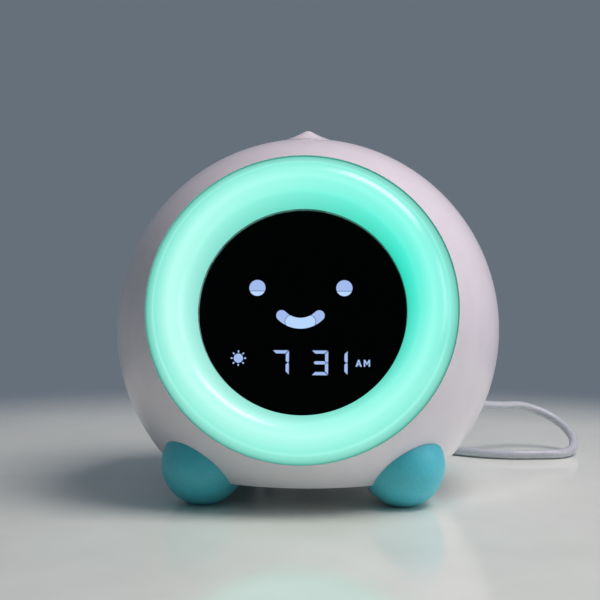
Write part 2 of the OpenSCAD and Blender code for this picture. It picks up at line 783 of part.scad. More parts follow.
// The marks' sizes are for a display that shows this radius, and they scale with it
marks_for_r = 38.5;
module lit() {
    color(lit_blue) on_face() translate([0, 0, lcd_front]) linear_extrude(mark_t)
        scale(view_r / marks_for_r) translate([-marks_left, 0]) children();
}
eye_split = 1.25;
module lcd_eyes() {
    lit() for (sx = [-1, 1]) translate([sx * eye_x, eye_y]) difference() {
        circle(r = eye_r, $fn = round_fn);
        translate([0, mark_gap / 2 - eye_split]) square([3 * eye_r, mark_gap], center = true);
    }
}
module smile_band() {
    difference() {
        circle(r = smile_r + smile_w / 2, $fn = fine);
        circle(r = smile_r - smile_w / 2, $fn = fine);
        polygon([[0, 0], 2 * smile_r * [sin(smile_half), -cos(smile_half)],
                 3 * smile_r * [1, 0], 3 * smile_r * [0, 1], 3 * smile_r * [-1, 0],
                 2 * smile_r * [-sin(smile_half), -cos(smile_half)]]);
    }
}
mouth_part_x = 5.6;
mouth_end_r = 2.4;
module mouth_middle(extra) {
    end_x = mouth_part_x - mouth_end_r;
    square([2 * end_x, 4 * smile_r], center = true);
    for (sx = [-1, 1]) translate([sx * end_x, -sqrt(pow(smile_r, 2) - pow(end_x, 2))])
        circle(r = mouth_end_r + extra, $fn = round_fn);
}
module lcd_mouth() {
    lit() translate([0, smile_y]) {
        intersection() {
            smile_band();
            mouth_middle(0);
        }
        difference() {
            union() {
                smile_band();
                for (sx = [-1, 1]) translate(smile_r * [sx * sin(smile_half), -cos(smile_half)])
                    circle(r = smile_w / 2, $fn = round_fn);
            }
            mouth_middle(mark_gap);
        }
    }
}
// One stroke of a digit: its outer edge runs from the origin along +X, and its ends are cut
// at 45 degrees, so that its inner edge is shorter
module edge_stroke(l) {
    polygon([[mark_gap, 0], [l - mark_gap, 0], [l - mark_gap - stroke, stroke], [mark_gap + stroke, stroke]]);
}
// The middle stroke has points at both ends
module middle_stroke(l) {
    h = stroke / 2;
    polygon([[h + mark_gap, 0], [2 * h + mark_gap, h], [l - 2 * h - mark_gap, h], [l - h - mark_gap, 0],
             [l - 2 * h - mark_gap, -h], [2 * h + mark_gap, -h]]);
}
// A seven-stroke digit, its lower left corner at the origin; lit names the strokes a to g
module digit(lit_strokes) {
    up = digit_h / 2;
    if (len(search("a", lit_strokes)) > 0) translate([0, digit_h]) mirror([0, 1]) edge_stroke(digit_w);
    if (len(search("b", lit_strokes)) > 0) translate([digit_w, up]) rotate(90) edge_stroke(up);
    if (len(search("c", lit_strokes)) > 0) translate([digit_w, 0]) rotate(90) edge_stroke(up);
    if (len(search("d", lit_strokes)) > 0) edge_stroke(digit_w);
    if (len(search("g", lit_strokes)) > 0) translate([0, up]) middle_stroke(digit_w);
}
digits_shown = [["abc", -10.1], ["abcdg", 4.3], ["bc", 11.4]];
module lcd_digits() {
    lit() for (d = digits_shown) translate([d[1], -digit_drop]) digit(d[0]);
}
sun_at = [-22.6, -17.4];
sun_r = 1.7;
ray_r = 2.85;
ray_w = 0.5;
module lcd_sun() {
    lit() translate(sun_at) {
        circle(r = sun_r, $fn = 32);
        for (k = [0:7]) rotate(45 * k)
            translate([sun_r + 0.4, -ray_w / 2]) square([ray_r - sun_r - 0.4, ray_w]);
    }
}
am_at = [20.4, -20.3];
am_h = 2.55;
am_w = 2.3;
am_stroke = 0.55;
module letter_a() {
    difference() {
        polygon([[0, 0], [am_w / 2 - am_stroke / 2, am_h], [am_w / 2 + am_stroke / 2, am_h], [am_w, 0]]);
        polygon([[am_stroke, -1], [am_stroke * 1.2, 0], [am_w * 0.36, am_h * 0.24],
                 [am_w * 0.64, am_h * 0.24], [am_w - am_stroke * 1.2, 0], [am_w - am_stroke, -1]]);
        polygon([[am_w * 0.42, am_h * 0.45], [am_w / 2, am_h * 0.75], [am_w * 0.58, am_h * 0.45]]);
    }
}
module letter_m() {
    difference() {
        square([am_w, am_h]);
        polygon([[am_stroke, -1], [am_stroke, am_h * 0.62], [am_w / 2, am_h * 0.2],
                 [am_w - am_stroke, am_h * 0.62], [am_w - am_stroke, -1]]);
        polygon([[am_stroke, am_h + 1], [am_stroke, am_h], [am_w / 2, am_h * 0.55],
                 [am_w - am_stroke, am_h], [am_w - am_stroke, am_h + 1]]);
    }
}
module lcd_am() {
    lit() translate(am_at) {
        letter_a();
        translate([am_w + 0.7, 0]) letter_m();
    }
}

// Main board
chip_w = 14;
chip_t = 1.6;
plug_w = 4;
plug_h = 3.4;
can_r = 4;
can_h = 7;
ribbon_x = main_hole_x - 0.35 * chip_w;
module main_board() {
    color(board_green) on_face() difference() {
        plate(main_w, main_h, main_back, main_front);
        at_corners(main_hole_x, main_hole_y) disc(screw_hole_r, main_back - 1, main_front + 1);
    }
}
module main_chips() {
    color(dark) on_face() {
        translate([0, chip_w / 2 - 1, 0]) plate(chip_w, chip_w, main_back - chip_t, main_back);
        translate([0.6 * chip_w - main_hole_x, -0.6 * chip_w, 0])
            plate(0.6 * chip_w, 0.4 * chip_w, main_back - chip_t, main_back);
        translate([main_hole_x - 0.65 * chip_w, -0.65 * chip_w, 0])
            plate(0.6 * chip_w, 0.6 * chip_w, main_back - chip_t, main_back);
        translate([ribbon_x, chip_w / 2 - 1, 0]) plate(plug_w, 0.65 * chip_w, main_back - plug_h, main_back);
        translate([0.5 * chip_w - main_hole_x, 0.35 * chip_w, 0]) disc(can_r, main_back - can_h, main_back);
    }
}
module board_screws() {
    color(steel) on_face() at_corners(main_hole_x, main_hole_y)
        translate([0, 0, main_back]) screw(board_t + screw_bite - 1);
}
module led_board() {
    color("#eef1ee") on_face() ring(led_board_in, led_board_out, frame_front, frame_front + board_t);
}
module leds() {
    color("#d9fff4") on_face() around(led_n, led_mid_r)
        plate(led_l, led_w, frame_front + board_t, frame_front + board_t + led_h);
}

// Top button: a low tip with hollow flanks and a round top
module tip_flanks() {
    low = body_r - button_t;
    rotate_extrude($fn = fine) difference() {
        polygon([[0, low], [0, tip_z], [button_r, tip_z + button_r * tan(flank_turn)], [button_r, low]]);
        translate(flank_at) circle(r = flank_r, $fn = 4 * fine);
    }
}
module top_button() {
    color(shell_white) in_body() {
        difference() {
            intersection() {
                ball(body_r);
                disc(button_r, guide_low - hook_t / 2, body_r + 1, fine);
            }
            disc(button_r - skirt_wall, guide_low - hook_t, body_r - button_t, fine);
        }
        tip_flanks();
        translate([0, 0, tip_z]) sphere(r = tip_r, $fn = round_fn);
        ring(button_r - skirt_wall, hook_r, guide_low - hook_t - 0.05, guide_low - 0.05);
        disc(stem_r, stem_low, body_r - button_t / 2);
    }
}
top_board_l = 2 * (top_post_x + top_post_r + 1);
module top_switch_board() {
    color(board_green) in_body() difference() {
        plate(top_board_l, 1.2 * switch_w, top_board_z - board_t, top_board_z);
        for (sx = [-1, 1]) translate([sx * top_post_x, 0, 0])
            disc(screw_hole_r, top_board_z - board_t - 1, top_board_z + 1);
    }
}
module top_switch() {
    color(dark) in_body() {
        plate(switch_w, switch_w, top_board_z, top_board_z + switch_body_h);
        disc(switch_nub_r, top_board_z + switch_body_h - 0.5, switch_top);
    }
}
module top_board_screws() {
    color(steel) in_body() for (sx = [-1, 1]) translate([sx * top_post_x, 0, top_board_z - board_t])
        screw(board_t + screw_bite - 1);
}

// Back: panel, keys, loudspeaker and power socket
key_first = 90 - key_step * (key_n - 1) / 2;
function key_at(k) = key_pcd_r * [cos(key_first + k * key_step), sin(key_first + k * key_step)];
key_post_gap = key_flange_r + key_post_r + 0.5;
key_post_low = key_at(0).y - sqrt(pow(key_post_gap, 2) - pow(key_pcd_r - key_at(0).x, 2));
key_posts = [[key_pcd_r, key_post_low], [-key_pcd_r, key_post_low], [0, key_board_r_in + 3.5]];
jack_at = [-jack_x, -jack_drop];
module rear_panel() {
    color(shell_white) on_back() difference() {
        union() {
            disc(panel_r, panel_in, back_depth, fine);
            for (p = key_posts) translate(p) disc(key_post_r, key_board_out, panel_in + 0.5);
            translate([0, speaker_y, 0])
                ring(speaker_r + 0.15, speaker_r + speaker_wall, panel_in - speaker_t, panel_in + 0.5);
        }
        for (k = [0:key_n - 1]) translate(key_at(k)) disc(key_r + key_gap, panel_in - 1, back_depth + 1);
        for (p = key_posts) translate(p) disc(pilot_r, key_board_out - 1, key_board_out + screw_bite);
        around(4, panel_screw_r) disc(screw_hole_r, panel_in - 1, back_depth + 1);
        translate(jack_at) disc(jack_nose_r + 0.1, panel_in - 1, back_depth + 1);
        translate([0, speaker_y, 0]) {
            disc(grille_r, panel_in - 1, back_depth + 1, 24);
            around(6, grille_step) disc(grille_r, panel_in - 1, back_depth + 1, 24);
            around(12, 2 * grille_step) disc(grille_r, panel_in - 1, back_depth + 1, 24);
        }
    }
}
module panel_screws() {
    color(steel) on_back() around(4, panel_screw_r)
        translate([0, 0, back_depth]) mirror([0, 0, 1]) screw(panel_t + screw_bite - 1);
}
module key(k) {
    color(teal) on_back() translate(key_at(k)) {
        disc(key_r, panel_in - key_flange_t, key_top_out);
        disc(key_flange_r, panel_in - key_flange_t - 0.05, panel_in - 0.05);
        disc(key_stem_r, key_stem_in, panel_in);
    }
}
module key_clock() { key(5); }
module key_alarm() { key(4); }
module key_down() { key(3); }
module key_up() { key(2); }
module key_sound() { key(1); }
module key_light() { key(0); }
module key_board() {
    color(board_green) on_back() difference() {
        intersection() {
            ring(key_board_r_in, key_board_r_out, key_board_in, key_board_out);
            translate([-key_board_r_out, key_post_low - 4, key_board_in - 1])
                cube([2 * key_board_r_out, key_board_r_out, board_t + 2]);
        }
        for (p = key_posts) translate(p) disc(screw_hole_r, key_board_in - 1, key_board_out + 1);
    }
}
module key_switches() {
    color(dark) on_back() for (k = [0:key_n - 1]) translate(key_at(k)) {
        plate(key_switch_w, key_switch_w, key_board_out, key_board_out + key_switch_h);
        disc(key_nub_r, key_board_out + key_switch_h - 0.5, key_board_out + key_switch_h + key_nub_h);
    }
}
module key_board_screws() {
    color(steel) on_back() for (p = key_posts) translate([p.x, p.y, key_board_in])
        screw(board_t + screw_bite - 1);
}
module speaker_frame() {
    color(steel) on_back() translate([0, speaker_y, panel_in - speaker_t]) {
        ring(speaker_r - cone_edge + 0.2, speaker_r, 0, speaker_t);
        difference() {
            translate([0, 0, -basket_h]) cylinder(r1 = basket_r, r2 = speaker_r, h = basket_h, $fn = fine);
            translate([0, 0, basket_wall - basket_h])
                cylinder(r1 = basket_r - basket_wall, r2 = speaker_r - basket_wall, h = basket_h, $fn = fine);
        }
    }
}
module speaker_cone() {
    low_r = 0.6 * basket_r;
    cone_h = basket_h - 1;
    color(dark) on_back() translate([0, speaker_y, panel_in - speaker_t]) difference() {
        union() {
            translate([0, 0, 1 - cone_h])
                cylinder(r1 = low_r, r2 = speaker_r - cone_edge, h = cone_h, $fn = fine);
            disc(low_r - basket_wall, -cone_h, 2 - cone_h);
        }
        translate([0, 0, 2 * basket_wall - cone_h])
            cylinder(r1 = low_r - 1, r2 = speaker_r - cone_edge - 0.2, h = cone_h, $fn = fine);
    }
}
module speaker_magnet() {
    color(dark) on_back() translate([0, speaker_y, panel_in - speaker_t - basket_h])
        disc(magnet_r, -magnet_t, 0);
}
module dc_jack() {
    color(dark) on_back() translate(jack_at) difference() {
        union() {
            plate(jack_w, jack_h, panel_in - jack_l, panel_in);
            disc(jack_nose_r, panel_in - 1, back_depth);
        }
        difference() {
            disc(bore_r, back_depth - barrel_l - 0.5, back_depth + 1);
            disc(0.6, back_depth - barrel_l - 1, back_depth - 1);
        }
    }
}

// Inner wiring
ribbon_w = 12;
ribbon_t = 0.8;
module ribbon_cable() {
    // Flat cable from the main board's plug up and back to the key board
    start = main_back - plug_h - ribbon_t / 2;
    from = [(chip_w / 2 - 1) * sin(face_lean) - start * cos(face_lean),
            (chip_w / 2 - 1) * cos(face_lean) + start * sin(face_lean)];
    to = [key_board_in, key_board_r_in + 6];
    mid = [(from.x + to.x) / 2, from.y + 22];
    line = [for (s = [0:8]) let (t = s / 8)
            from * pow(1 - t, 2) + 2 * mid * t * (1 - t) + to * t * t];
    color(dark) in_body() translate([ribbon_x, 0, 0]) rotate([90, 0, 90])
        linear_extrude(ribbon_w, center = true) polygon(concat(
            [for (p = line) p + [0, ribbon_t / 2]],
            [for (i = [8:-1:0]) line[i] - [0, ribbon_t / 2]]));
}
lead_r = 0.8;
lead_gap = 6;
lead_x = -main_w / 4;
lead_low = main_h / 2 - 6;
function bow(a, b, c, d, t) =
    a * pow(1 - t, 3) + 3 * b * t * pow(1 - t, 2) + 3 * c * t * t * (1 - t) + d * pow(t, 3);
module battery_leads() {
    // Each rises from the case and ends square on the board's back
    off_board = [0, cos(face_lean), -sin(face_lean)];
    for (sx = [-1, 1]) {
        from = [lead_x + sx * lead_gap / 2, 0, base_top + case_h + case_wall];
        to = [from.x, -lead_low * sin(face_lean), -lead_low * cos(face_lean)] - (main_back - 0.05) * off_board;
        color("#b03030") in_body()
            tube([for (s = [0:8]) bow(from, from + [0, 0, 10], to + 14 * off_board, to, s / 8)], lead_r, 6);
    }
}

// Power lead with its plugs
module dc_plug() {
    color(lead_white) in_body() translate([jack_x, back_depth, -jack_drop]) {
        difference() {
            rotate([90, 0, 0]) disc(barrel_r, -0.1, barrel_l);
            rotate([90, 0, 0]) disc(0.75, -1, barrel_l + 1);
        }
        rotate([-90, 0, 0]) disc(4.4, 0, plug_axis + 1);
        translate([0, plug_axis, 0]) sphere(r = 4.4, $fn = round_fn);
        translate([0, plug_axis, 0]) rotate([0, 90, 0]) {
            disc(3.6, 0, 9);
            translate([0, 0, 9]) cylinder(r1 = 3.2, r2 = cord_r + 0.4, h = plug_arm - 9, $fn = round_fn);
        }
    }
}
module cord_lead() { color(lead_white) tube(lead_points, cord_r, cord_sides); }
module cord_coil() { color(lead_white) tube(coil_path, cord_r, coil_sides); }
module cord_tail() { color(lead_white) tube(tail_points, cord_r, cord_sides); }
tie_turn = 215;
module cord_tie() {
    bundle_w = coil_out_r - coil_in_r + cord_d + 0.6;
    bundle_h = cord_d + coil_pitch * (coil_layers - 1) + 0.6;
    color("#dcdce0") translate([coil_at.x, coil_at.y, 0]) rotate(tie_turn)
        translate([coil_mid_r, 0, tie_t + bundle_h / 2 - 0.1]) rotate([90, 0, 0])
            linear_extrude(tie_w, center = true) difference() {
                square([bundle_w + 2 * tie_t, bundle_h + 2 * tie_t - 0.2], center = true);
                square([bundle_w, bundle_h], center = true);
            }
}
module usb_plug() {
    relief_l = 10;
    grip_l = 18;
    metal_l = 12;
    translate(usb_exit) rotate([90, 0, 0]) {
        color(lead_white) {
            cylinder(r1 = cord_r + 0.3, r2 = 3.4, h = relief_l, $fn = round_fn);
            plate(15, usb_h, relief_l - 0.01, relief_l + grip_l);
        }
        color(steel) plate(12, 4.5, relief_l + grip_l - 0.01, relief_l + grip_l + metal_l);
    }
}

front_shell();
rear_shell();
base_plate();
base_screws();
case_screws();
light_ring();
display_window();
face_frame();
frame_screws();
lcd_panel();
lcd_eyes();
lcd_mouth();
lcd_digits();
lcd_sun();
lcd_am();
backlight();
display_plate();
plate_screws();
main_board();
main_chips();
board_screws();
led_board();
leds();
top_button();
top_switch_board();
top_switch();
top_board_screws();
rear_panel();
panel_screws();
key_board();
key_switches();
key_board_screws();
key_clock();
key_alarm();
key_down();
key_up();
key_sound();
key_light();
speaker_frame();
speaker_cone();
speaker_magnet();
dc_jack();
battery_cells();
battery_contacts();
battery_springs();
battery_door();
door_screw();
foot_front_left();
foot_front_right();
foot_rear_left();
foot_rear_right();
ribbon_cable();
battery_leads();
dc_plug();
cord_lead();
cord_coil();
cord_tail();
cord_tie();
usb_plug();
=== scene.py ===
# %% [markdown]
# # A child's alarm clock with a night light
#
# The clock is a white plastic ball, 150 mm across, on four soft teal feet. A milky ring round its
# display glows mint. The imported CAD model is the fixed frame: every shape here sits on it, and
# lengths are in metres. This first cell loads the model and gives a way to measure a part's box.

import math

import bmesh
import bpy
from mathutils import Matrix, Vector


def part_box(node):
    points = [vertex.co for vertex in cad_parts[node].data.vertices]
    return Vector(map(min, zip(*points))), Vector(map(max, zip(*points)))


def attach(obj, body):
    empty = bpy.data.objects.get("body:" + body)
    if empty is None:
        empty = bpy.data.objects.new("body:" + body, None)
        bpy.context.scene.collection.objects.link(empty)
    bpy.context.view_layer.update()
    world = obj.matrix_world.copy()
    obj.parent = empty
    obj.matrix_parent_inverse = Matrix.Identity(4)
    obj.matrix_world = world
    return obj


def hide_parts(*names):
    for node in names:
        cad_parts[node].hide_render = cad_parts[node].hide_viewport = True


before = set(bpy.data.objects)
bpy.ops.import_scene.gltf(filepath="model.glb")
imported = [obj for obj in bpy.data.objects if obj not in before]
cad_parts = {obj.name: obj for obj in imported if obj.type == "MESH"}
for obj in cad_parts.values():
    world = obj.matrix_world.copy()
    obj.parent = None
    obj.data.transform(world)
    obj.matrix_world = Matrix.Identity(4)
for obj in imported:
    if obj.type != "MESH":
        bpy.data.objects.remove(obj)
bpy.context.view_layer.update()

# %% [markdown]
# ## Where the ball and its face are
#
# The rear panel is a round plate in the middle of the ball's flat back, so its box gives the ball's
# centre. The face leans back, so it gets a frame of its own: its Z axis points out of the display
# and its Y axis points up in the face. The back has one too, with Z pointing away from the clock.

# %% Frames of the face and the back
MM = 0.001
BALL_R = 75 * MM
BACK_SHARE = 0.773
BACK_DEPTH = BACK_SHARE * BALL_R
LEAN = math.radians(14.4)

panel_low, panel_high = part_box("rear_panel")
CENTRE = Vector((0, panel_high.y - BACK_DEPTH, (panel_low.z + panel_high.z) / 2))
BODY = Matrix.Translation(CENTRE)
FACE = BODY @ Matrix.Rotation(math.pi / 2 - LEAN, 4, "X")
BACK = BODY @ Matrix.Rotation(math.pi, 4, "Z") @ Matrix.Rotation(math.pi / 2, 4, "X")
print("ball's centre in mm", [round(c / MM, 2) for c in CENTRE])

# %% [markdown]
# ## The camera
#
# The photograph was taken close, from a little above and a little to the right. A pinhole camera
# with a long lens gives the same outline. Its picture is taken as 600 by 600 pixels. It aims a
# little above and left of the ball's centre, because the clock sits low in the frame.

# %% Camera at the photograph's angle
def in_scene(name, data):
    """A new object with that data, linked to the scene."""
    made = bpy.data.objects.new(name, data)
    bpy.context.scene.collection.objects.link(made)
    return made


PICTURE = 600
FOCAL_PX = 1387.6
DISTANCE = 550 * MM
AZIMUTH, ELEVATION = math.radians(2.9), math.radians(5)
BALL_PX = (307.9, 329.2)

level = Vector((math.sin(AZIMUTH), -math.cos(AZIMUTH), 0))
away = level * math.cos(ELEVATION) + Vector((0, 0, math.sin(ELEVATION)))
right = Vector((math.cos(AZIMUTH), math.sin(AZIMUTH), 0))
up = away.cross(right)
per_px = DISTANCE / FOCAL_PX
aim = CENTRE - right * (BALL_PX[0] - PICTURE / 2) * per_px + up * (BALL_PX[1] - PICTURE / 2) * per_px

camera_data = bpy.data.cameras.new("photo_camera")
camera_data.sensor_width = 36
camera_data.lens = camera_data.sensor_width * FOCAL_PX / PICTURE
camera_data.clip_start, camera_data.clip_end = 0.02, 20
camera = in_scene("photo_camera", camera_data)
camera.location = CENTRE + away * DISTANCE
camera.rotation_euler = (aim - camera.location).to_track_quat("-Z", "Y").to_euler()
bpy.context.scene.camera = camera
print("camera at", [round(c, 4) for c in camera.location], "lens", round(camera_data.lens, 1))

# %% [markdown]
# ## The power lead's route
#
# A clock like this has about 1.5 m of thin lead. It leaves the plug level, sags to the table in one
# curve to the right, and runs back behind the clock, where the spare length is wound in a neat
# coil. The listed points are in millimetres. The coil is a formula: its turns spiral in and
# out, and climb one layer each time the spiral turns back.

# %% Route of the lead
LEAD_D = 4 * MM
PLUG_R = 4.4
COIL_AT = (14, 114)
COIL_MID_R, COIL_PITCH, LAYER_TURNS, COIL_LAYERS = 23, 4.5, 2.0625, 4
COIL_LOW, CLIMB_TURNS = 3.0, 0.5
STEPS_PER_TURN, STEPS_PER_SPAN = 48, 4

plug_low, plug_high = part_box("dc_plug")
PLUG_EXIT = Vector((plug_high.x, plug_high.y - PLUG_R * MM, (plug_low.z + plug_high.z) / 2))


def coil_point(turn):
    """A point of the coil in millimetres, after that many turns."""
    phase = turn % (2 * LAYER_TURNS)
    inward = min(phase, 2 * LAYER_TURNS - phase)
    radius = COIL_MID_R + COIL_PITCH * (LAYER_TURNS / 2 - inward)
    height = COIL_LOW
    for layer in range(1, COIL_LAYERS):
        climbed = min(max((turn - layer * LAYER_TURNS) / CLIMB_TURNS + 0.5, 0), 1)
        height += COIL_PITCH * (1 - math.cos(math.pi * climbed)) / 2
    angle = math.tau * turn
    x, y = COIL_AT
    return Vector((x + radius * math.cos(angle), y + radius * math.sin(angle), height))


def smooth_through(points, parts):
    """Points of a smooth curve through the given ones, with that many parts in each span."""
    ends = [2 * points[0] - points[1], *points, 2 * points[-1] - points[-2]]
    made = []
    for p0, p1, p2, p3 in zip(ends, ends[1:], ends[2:], ends[3:]):
        t1 = (p1 - p0).length ** 0.5
        t2 = t1 + (p2 - p1).length ** 0.5
        t3 = t2 + (p3 - p2).length ** 0.5
        for step in range(parts):
            t = t1 + (t2 - t1) * step / parts
            a1 = p0 * (t1 - t) / t1 + p1 * t / t1
            a2 = p1 * (t2 - t) / (t2 - t1) + p2 * (t - t1) / (t2 - t1)
            a3 = p2 * (t3 - t) / (t3 - t2) + p3 * (t - t2) / (t3 - t2)
            b1 = a1 * (t2 - t) / t2 + a2 * t / t2
            b2 = a2 * (t3 - t) / (t3 - t1) + a3 * (t - t1) / (t3 - t1)
            made.append(b1 * (t2 - t) / (t2 - t1) + b2 * (t - t1) / (t2 - t1))
    return [*made, points[-1]]


coil_turns = LAYER_TURNS * COIL_LAYERS
coil_count = round(coil_turns * STEPS_PER_TURN)
coil = [coil_point(coil_turns * step / coil_count) for step in range(coil_count + 1)]
coil_in = (coil[1] - coil[0]).normalized() * LEAD_D / MM
coil_out = (coil[-1] - coil[-2]).normalized() * LEAD_D / MM
exit_mm = PLUG_EXIT / MM
to_coil = [exit_mm, exit_mm + Vector((6, 0, 0))] + [
    Vector(p)
    for p in (
        (55, 71.2, 24.4), (66, 76.8, 22.6), (76, 82.5, 20.9), (84, 87.2, 19.9), (92.7, 92.4, 19.33),
        (98.9, 94.2, 17.65), (105.3, 93.3, 15.14), (110.8, 89.8, 11.96), (114.4, 84.5, 8.57),
        (115.5, 78.2, 5.49), (113.9, 71.9, 3.23), (110, 66.8, 2.12), (104.3, 63.8, 2.05),
        (97, 62.9, 2.05), (89, 62, 2.05), (80.5, 62.8, 2.05), (72.5, 65.3, 2.05), (65, 69.2, 2.05),
        (57.8, 74.6, 2.05), (51.2, 82, 2.1), (46.2, 91, 2.4),
    )
]
USB_EXIT = Vector((-35, 106, 3.9))
from_coil = [
    Vector(p)
    for p in (
        (2, 142.1, 16.3), (-6, 141, 14.6), (-13.4, 138.4, 12.1), (-20, 134.4, 9.5), (-25.9, 129.2, 7.2),
        (-30.6, 122.7, 5.4), (-33.8, 115.5, 4.3),
    )
] + [USB_EXIT + Vector((0, 5, 0)), USB_EXIT]
to_coil += [coil[0] - 2 * coil_in, coil[0] - coil_in, coil[0]]
from_coil = [coil[-1], coil[-1] + coil_out, coil[-1] + 2 * coil_out, *from_coil]
before = smooth_through(to_coil, STEPS_PER_SPAN)
after = smooth_through(from_coil, STEPS_PER_SPAN)
route = [p * MM for p in (*before[:-1], *coil, *after[1:])]

# %% [markdown]
# ## Colours and nodes
#
# Paint and plastic colours are known as sRGB hex values, but light is mixed in linear
# numbers, so one function turns a hex value to linear. A second one adds a node to a material,
# sets its properties, and fills or links its sockets. A third gives a wave texture the scale at
# which it repeats after a real size: at a scale of 1 it repeats after tau / 20, or 0.314 m.

# %% Colour and node helpers
def linear(hex_colour):
    """An sRGB hex colour as linear red, green, blue and alpha."""
    shares = [int(hex_colour[start : start + 2], 16) / 255 for start in (1, 3, 5)]
    return (*[s / 12.92 if s <= 0.04045 else ((s + 0.055) / 1.055) ** 2.4 for s in shares], 1)


def add(tree, kind, sockets=None, **settings):
    """A new node with its properties set; a socket gets a value, or a link from another socket."""
    node = tree.nodes.new("ShaderNode" + kind)
    for name, value in settings.items():
        setattr(node, name, value)
    for name, value in (sockets or {}).items():
        if isinstance(value, bpy.types.NodeSocket):
            tree.links.new(value, node.inputs[name])
        else:
            node.inputs[name].default_value = value
    return node


def wave_scale(pitch_mm):
    """The scale at which a wave texture repeats after that many millimetres."""
    return math.tau / 20 / (pitch_mm * MM)


print("white in linear numbers", [round(share, 3) for share in linear("#f1ecf1")])

# %% [markdown]
# ## How a finish starts
#
# Every finish starts from its material's usual colour, gloss and refraction. Moulded plastic is
# never one flat tone: it has slow, faint changes of colour, and a skin with a fine relief that it
# took from the mould. Both come from one noise, whose grain is a real size in millimetres.

# %% Helpers for a finish
def new_finish(name, colour, roughness, metallic=0.0, ior=1.5, more=None):
    """A material of one colour and gloss, and more sockets by name, with its tree and its shader."""
    finish = bpy.data.materials.new(name)
    finish.use_nodes = True
    shader = finish.node_tree.nodes["Principled BSDF"]
    usual = {"Base Color": linear(colour), "Roughness": roughness, "Metallic": metallic, "IOR": ior}
    for socket, value in {**usual, **(more or {})}.items():
        shader.inputs[socket].default_value = value
    return finish, finish.node_tree, shader


def two_tone(tree, share, low, high, start=0.35, end=0.65):
    """The colour output of a ramp between two hex colours."""
    node = add(tree, "ValToRGB", {"Fac": share})
    for element, place, colour in zip(node.color_ramp.elements, (start, end), (low, high)):
        element.position, element.color = place, linear(colour)
    return node.outputs["Color"]


def emboss(tree, shader, height, depth_mm, invert=False):
    """A relief of that depth on the shader's surface, from a height output."""
    bump = add(tree, "Bump", {"Height": height, "Distance": depth_mm * MM}, invert=invert)
    tree.links.new(bump.outputs["Normal"], shader.inputs["Normal"])


def mottle(tree, shader, low, high, grain_mm, depth_mm, detail=2.0):
    """Slow tone changes between two colours, and a relief of that depth, both from one noise."""
    place = add(tree, "TexCoord").outputs["Object"]
    grain = {"Vector": place, "Scale": 1 / (grain_mm * MM), "Detail": detail}
    noise = add(tree, "TexNoise", grain).outputs["Fac"]
    tree.links.new(two_tone(tree, noise, low, high), shader.inputs["Base Color"])
    emboss(tree, shader, noise, depth_mm)


def dress(finish, *nodes):
    """Gives CAD nodes a finish, in the material slots that they came with."""
    for node in nodes:
        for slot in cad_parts[node].material_slots:
            slot.material = finish


print("helpers for finishes are ready")

# %% [markdown]
# ## Shapes of the detailed pieces
#
# The small parts are built in mesh code. A moulded part is a loft, which is a row of outlines
# joined into a skin. A turned part is a loft whose outlines are circles. Real edges are never
# sharp, so outlines have cut corners drawn as short curves. A recess, such as the cross of a
# screw, is carved out with one cutter. Lengths in these outlines are millimetres.

# %% Outlines
CORNERS = ((-1, -1), (1, -1), (1, 1), (-1, 1))


def softened(outline, parts=4):
    """Rounds an outline. Each corner is (x, y, cut), and its curve starts and ends that far off."""
    made = []
    for index, (x, y, cut) in enumerate(outline):
        here = Vector((x, y))
        before, after = (Vector(outline[i % len(outline)][:2]) for i in (index - 1, index + 1))
        start = here + (before - here).normalized() * cut
        end = here + (after - here).normalized() * cut
        for t in [step / parts for step in range(parts + 1)] if cut else [0]:
            made.append(tuple(start * (1 - t) ** 2 + here * 2 * t * (1 - t) + end * t**2))
    return made


def rectangle(wide, high, cut=0.0, mid=(0, 0)):
    """A rectangle with cut corners, about its middle."""
    return softened([(sx * wide / 2 + mid[0], sy * high / 2 + mid[1], cut) for sx, sy in CORNERS])


def circle(radius, count, mid=(0, 0)):
    """A regular polygon with many sides."""
    angles = [math.tau * k / count for k in range(count)]
    return [(mid[0] + radius * math.cos(a), mid[1] + radius * math.sin(a)) for a in angles]


print("a soft square has", len(rectangle(1, 1, 0.2)), "points")

# %% Lofts and turned shapes
def lofted(sections, at, shape=None, closed=False):
    """Joins (outline, height) sections along a frame's Z axis; a closed loft ends where it starts."""
    shape = shape or bmesh.new()
    loops = [[shape.verts.new(at @ (Vector((*p, high)) * MM)) for p in line] for line, high in sections]
    for low, high in zip(loops, loops[1:] + loops[:1] if closed else loops[1:]):
        for k in range(max(len(low), len(high))):
            here = (low[k % len(low)], low[(k + 1) % len(low)])
            there = (high[(k + 1) % len(high)], high[k % len(high)])
            shape.faces.new(list(dict.fromkeys(here + there)))
    if not closed:
        for line in (loops[0][::-1], loops[-1]):
            if len(line) > 2:
                shape.faces.new(line)
    return shape


def turned(profile, at, count=64, shape=None, closed=False):
    """A body of revolution about a frame's Z axis, from (radius, height) points."""
    sections = [(circle(radius, count if radius else 1), height) for radius, height in profile]
    return lofted(sections, at, shape, closed)


def carved(shape, cutter):
    """The shape with the cutter taken away from it."""
    both = []
    for part in (shape, cutter):
        bmesh.ops.recalc_face_normals(part, faces=part.faces)
        mesh = bpy.data.meshes.new("raw")
        part.to_mesh(mesh)
        part.free()
        both.append(in_scene("raw", mesh))
    cut = both[0].modifiers.new("cut", "BOOLEAN")
    cut.object, cut.operation, cut.solver = both[1], "DIFFERENCE", "EXACT"
    bpy.context.view_layer.update()
    depsgraph = bpy.context.evaluated_depsgraph_get()
    mesh = bpy.data.meshes.new_from_object(both[0].evaluated_get(depsgraph))
    for raw in both:
        bpy.data.objects.remove(raw)
    made = bmesh.new()
    made.from_mesh(mesh)
    bpy.data.meshes.remove(mesh)
    return made


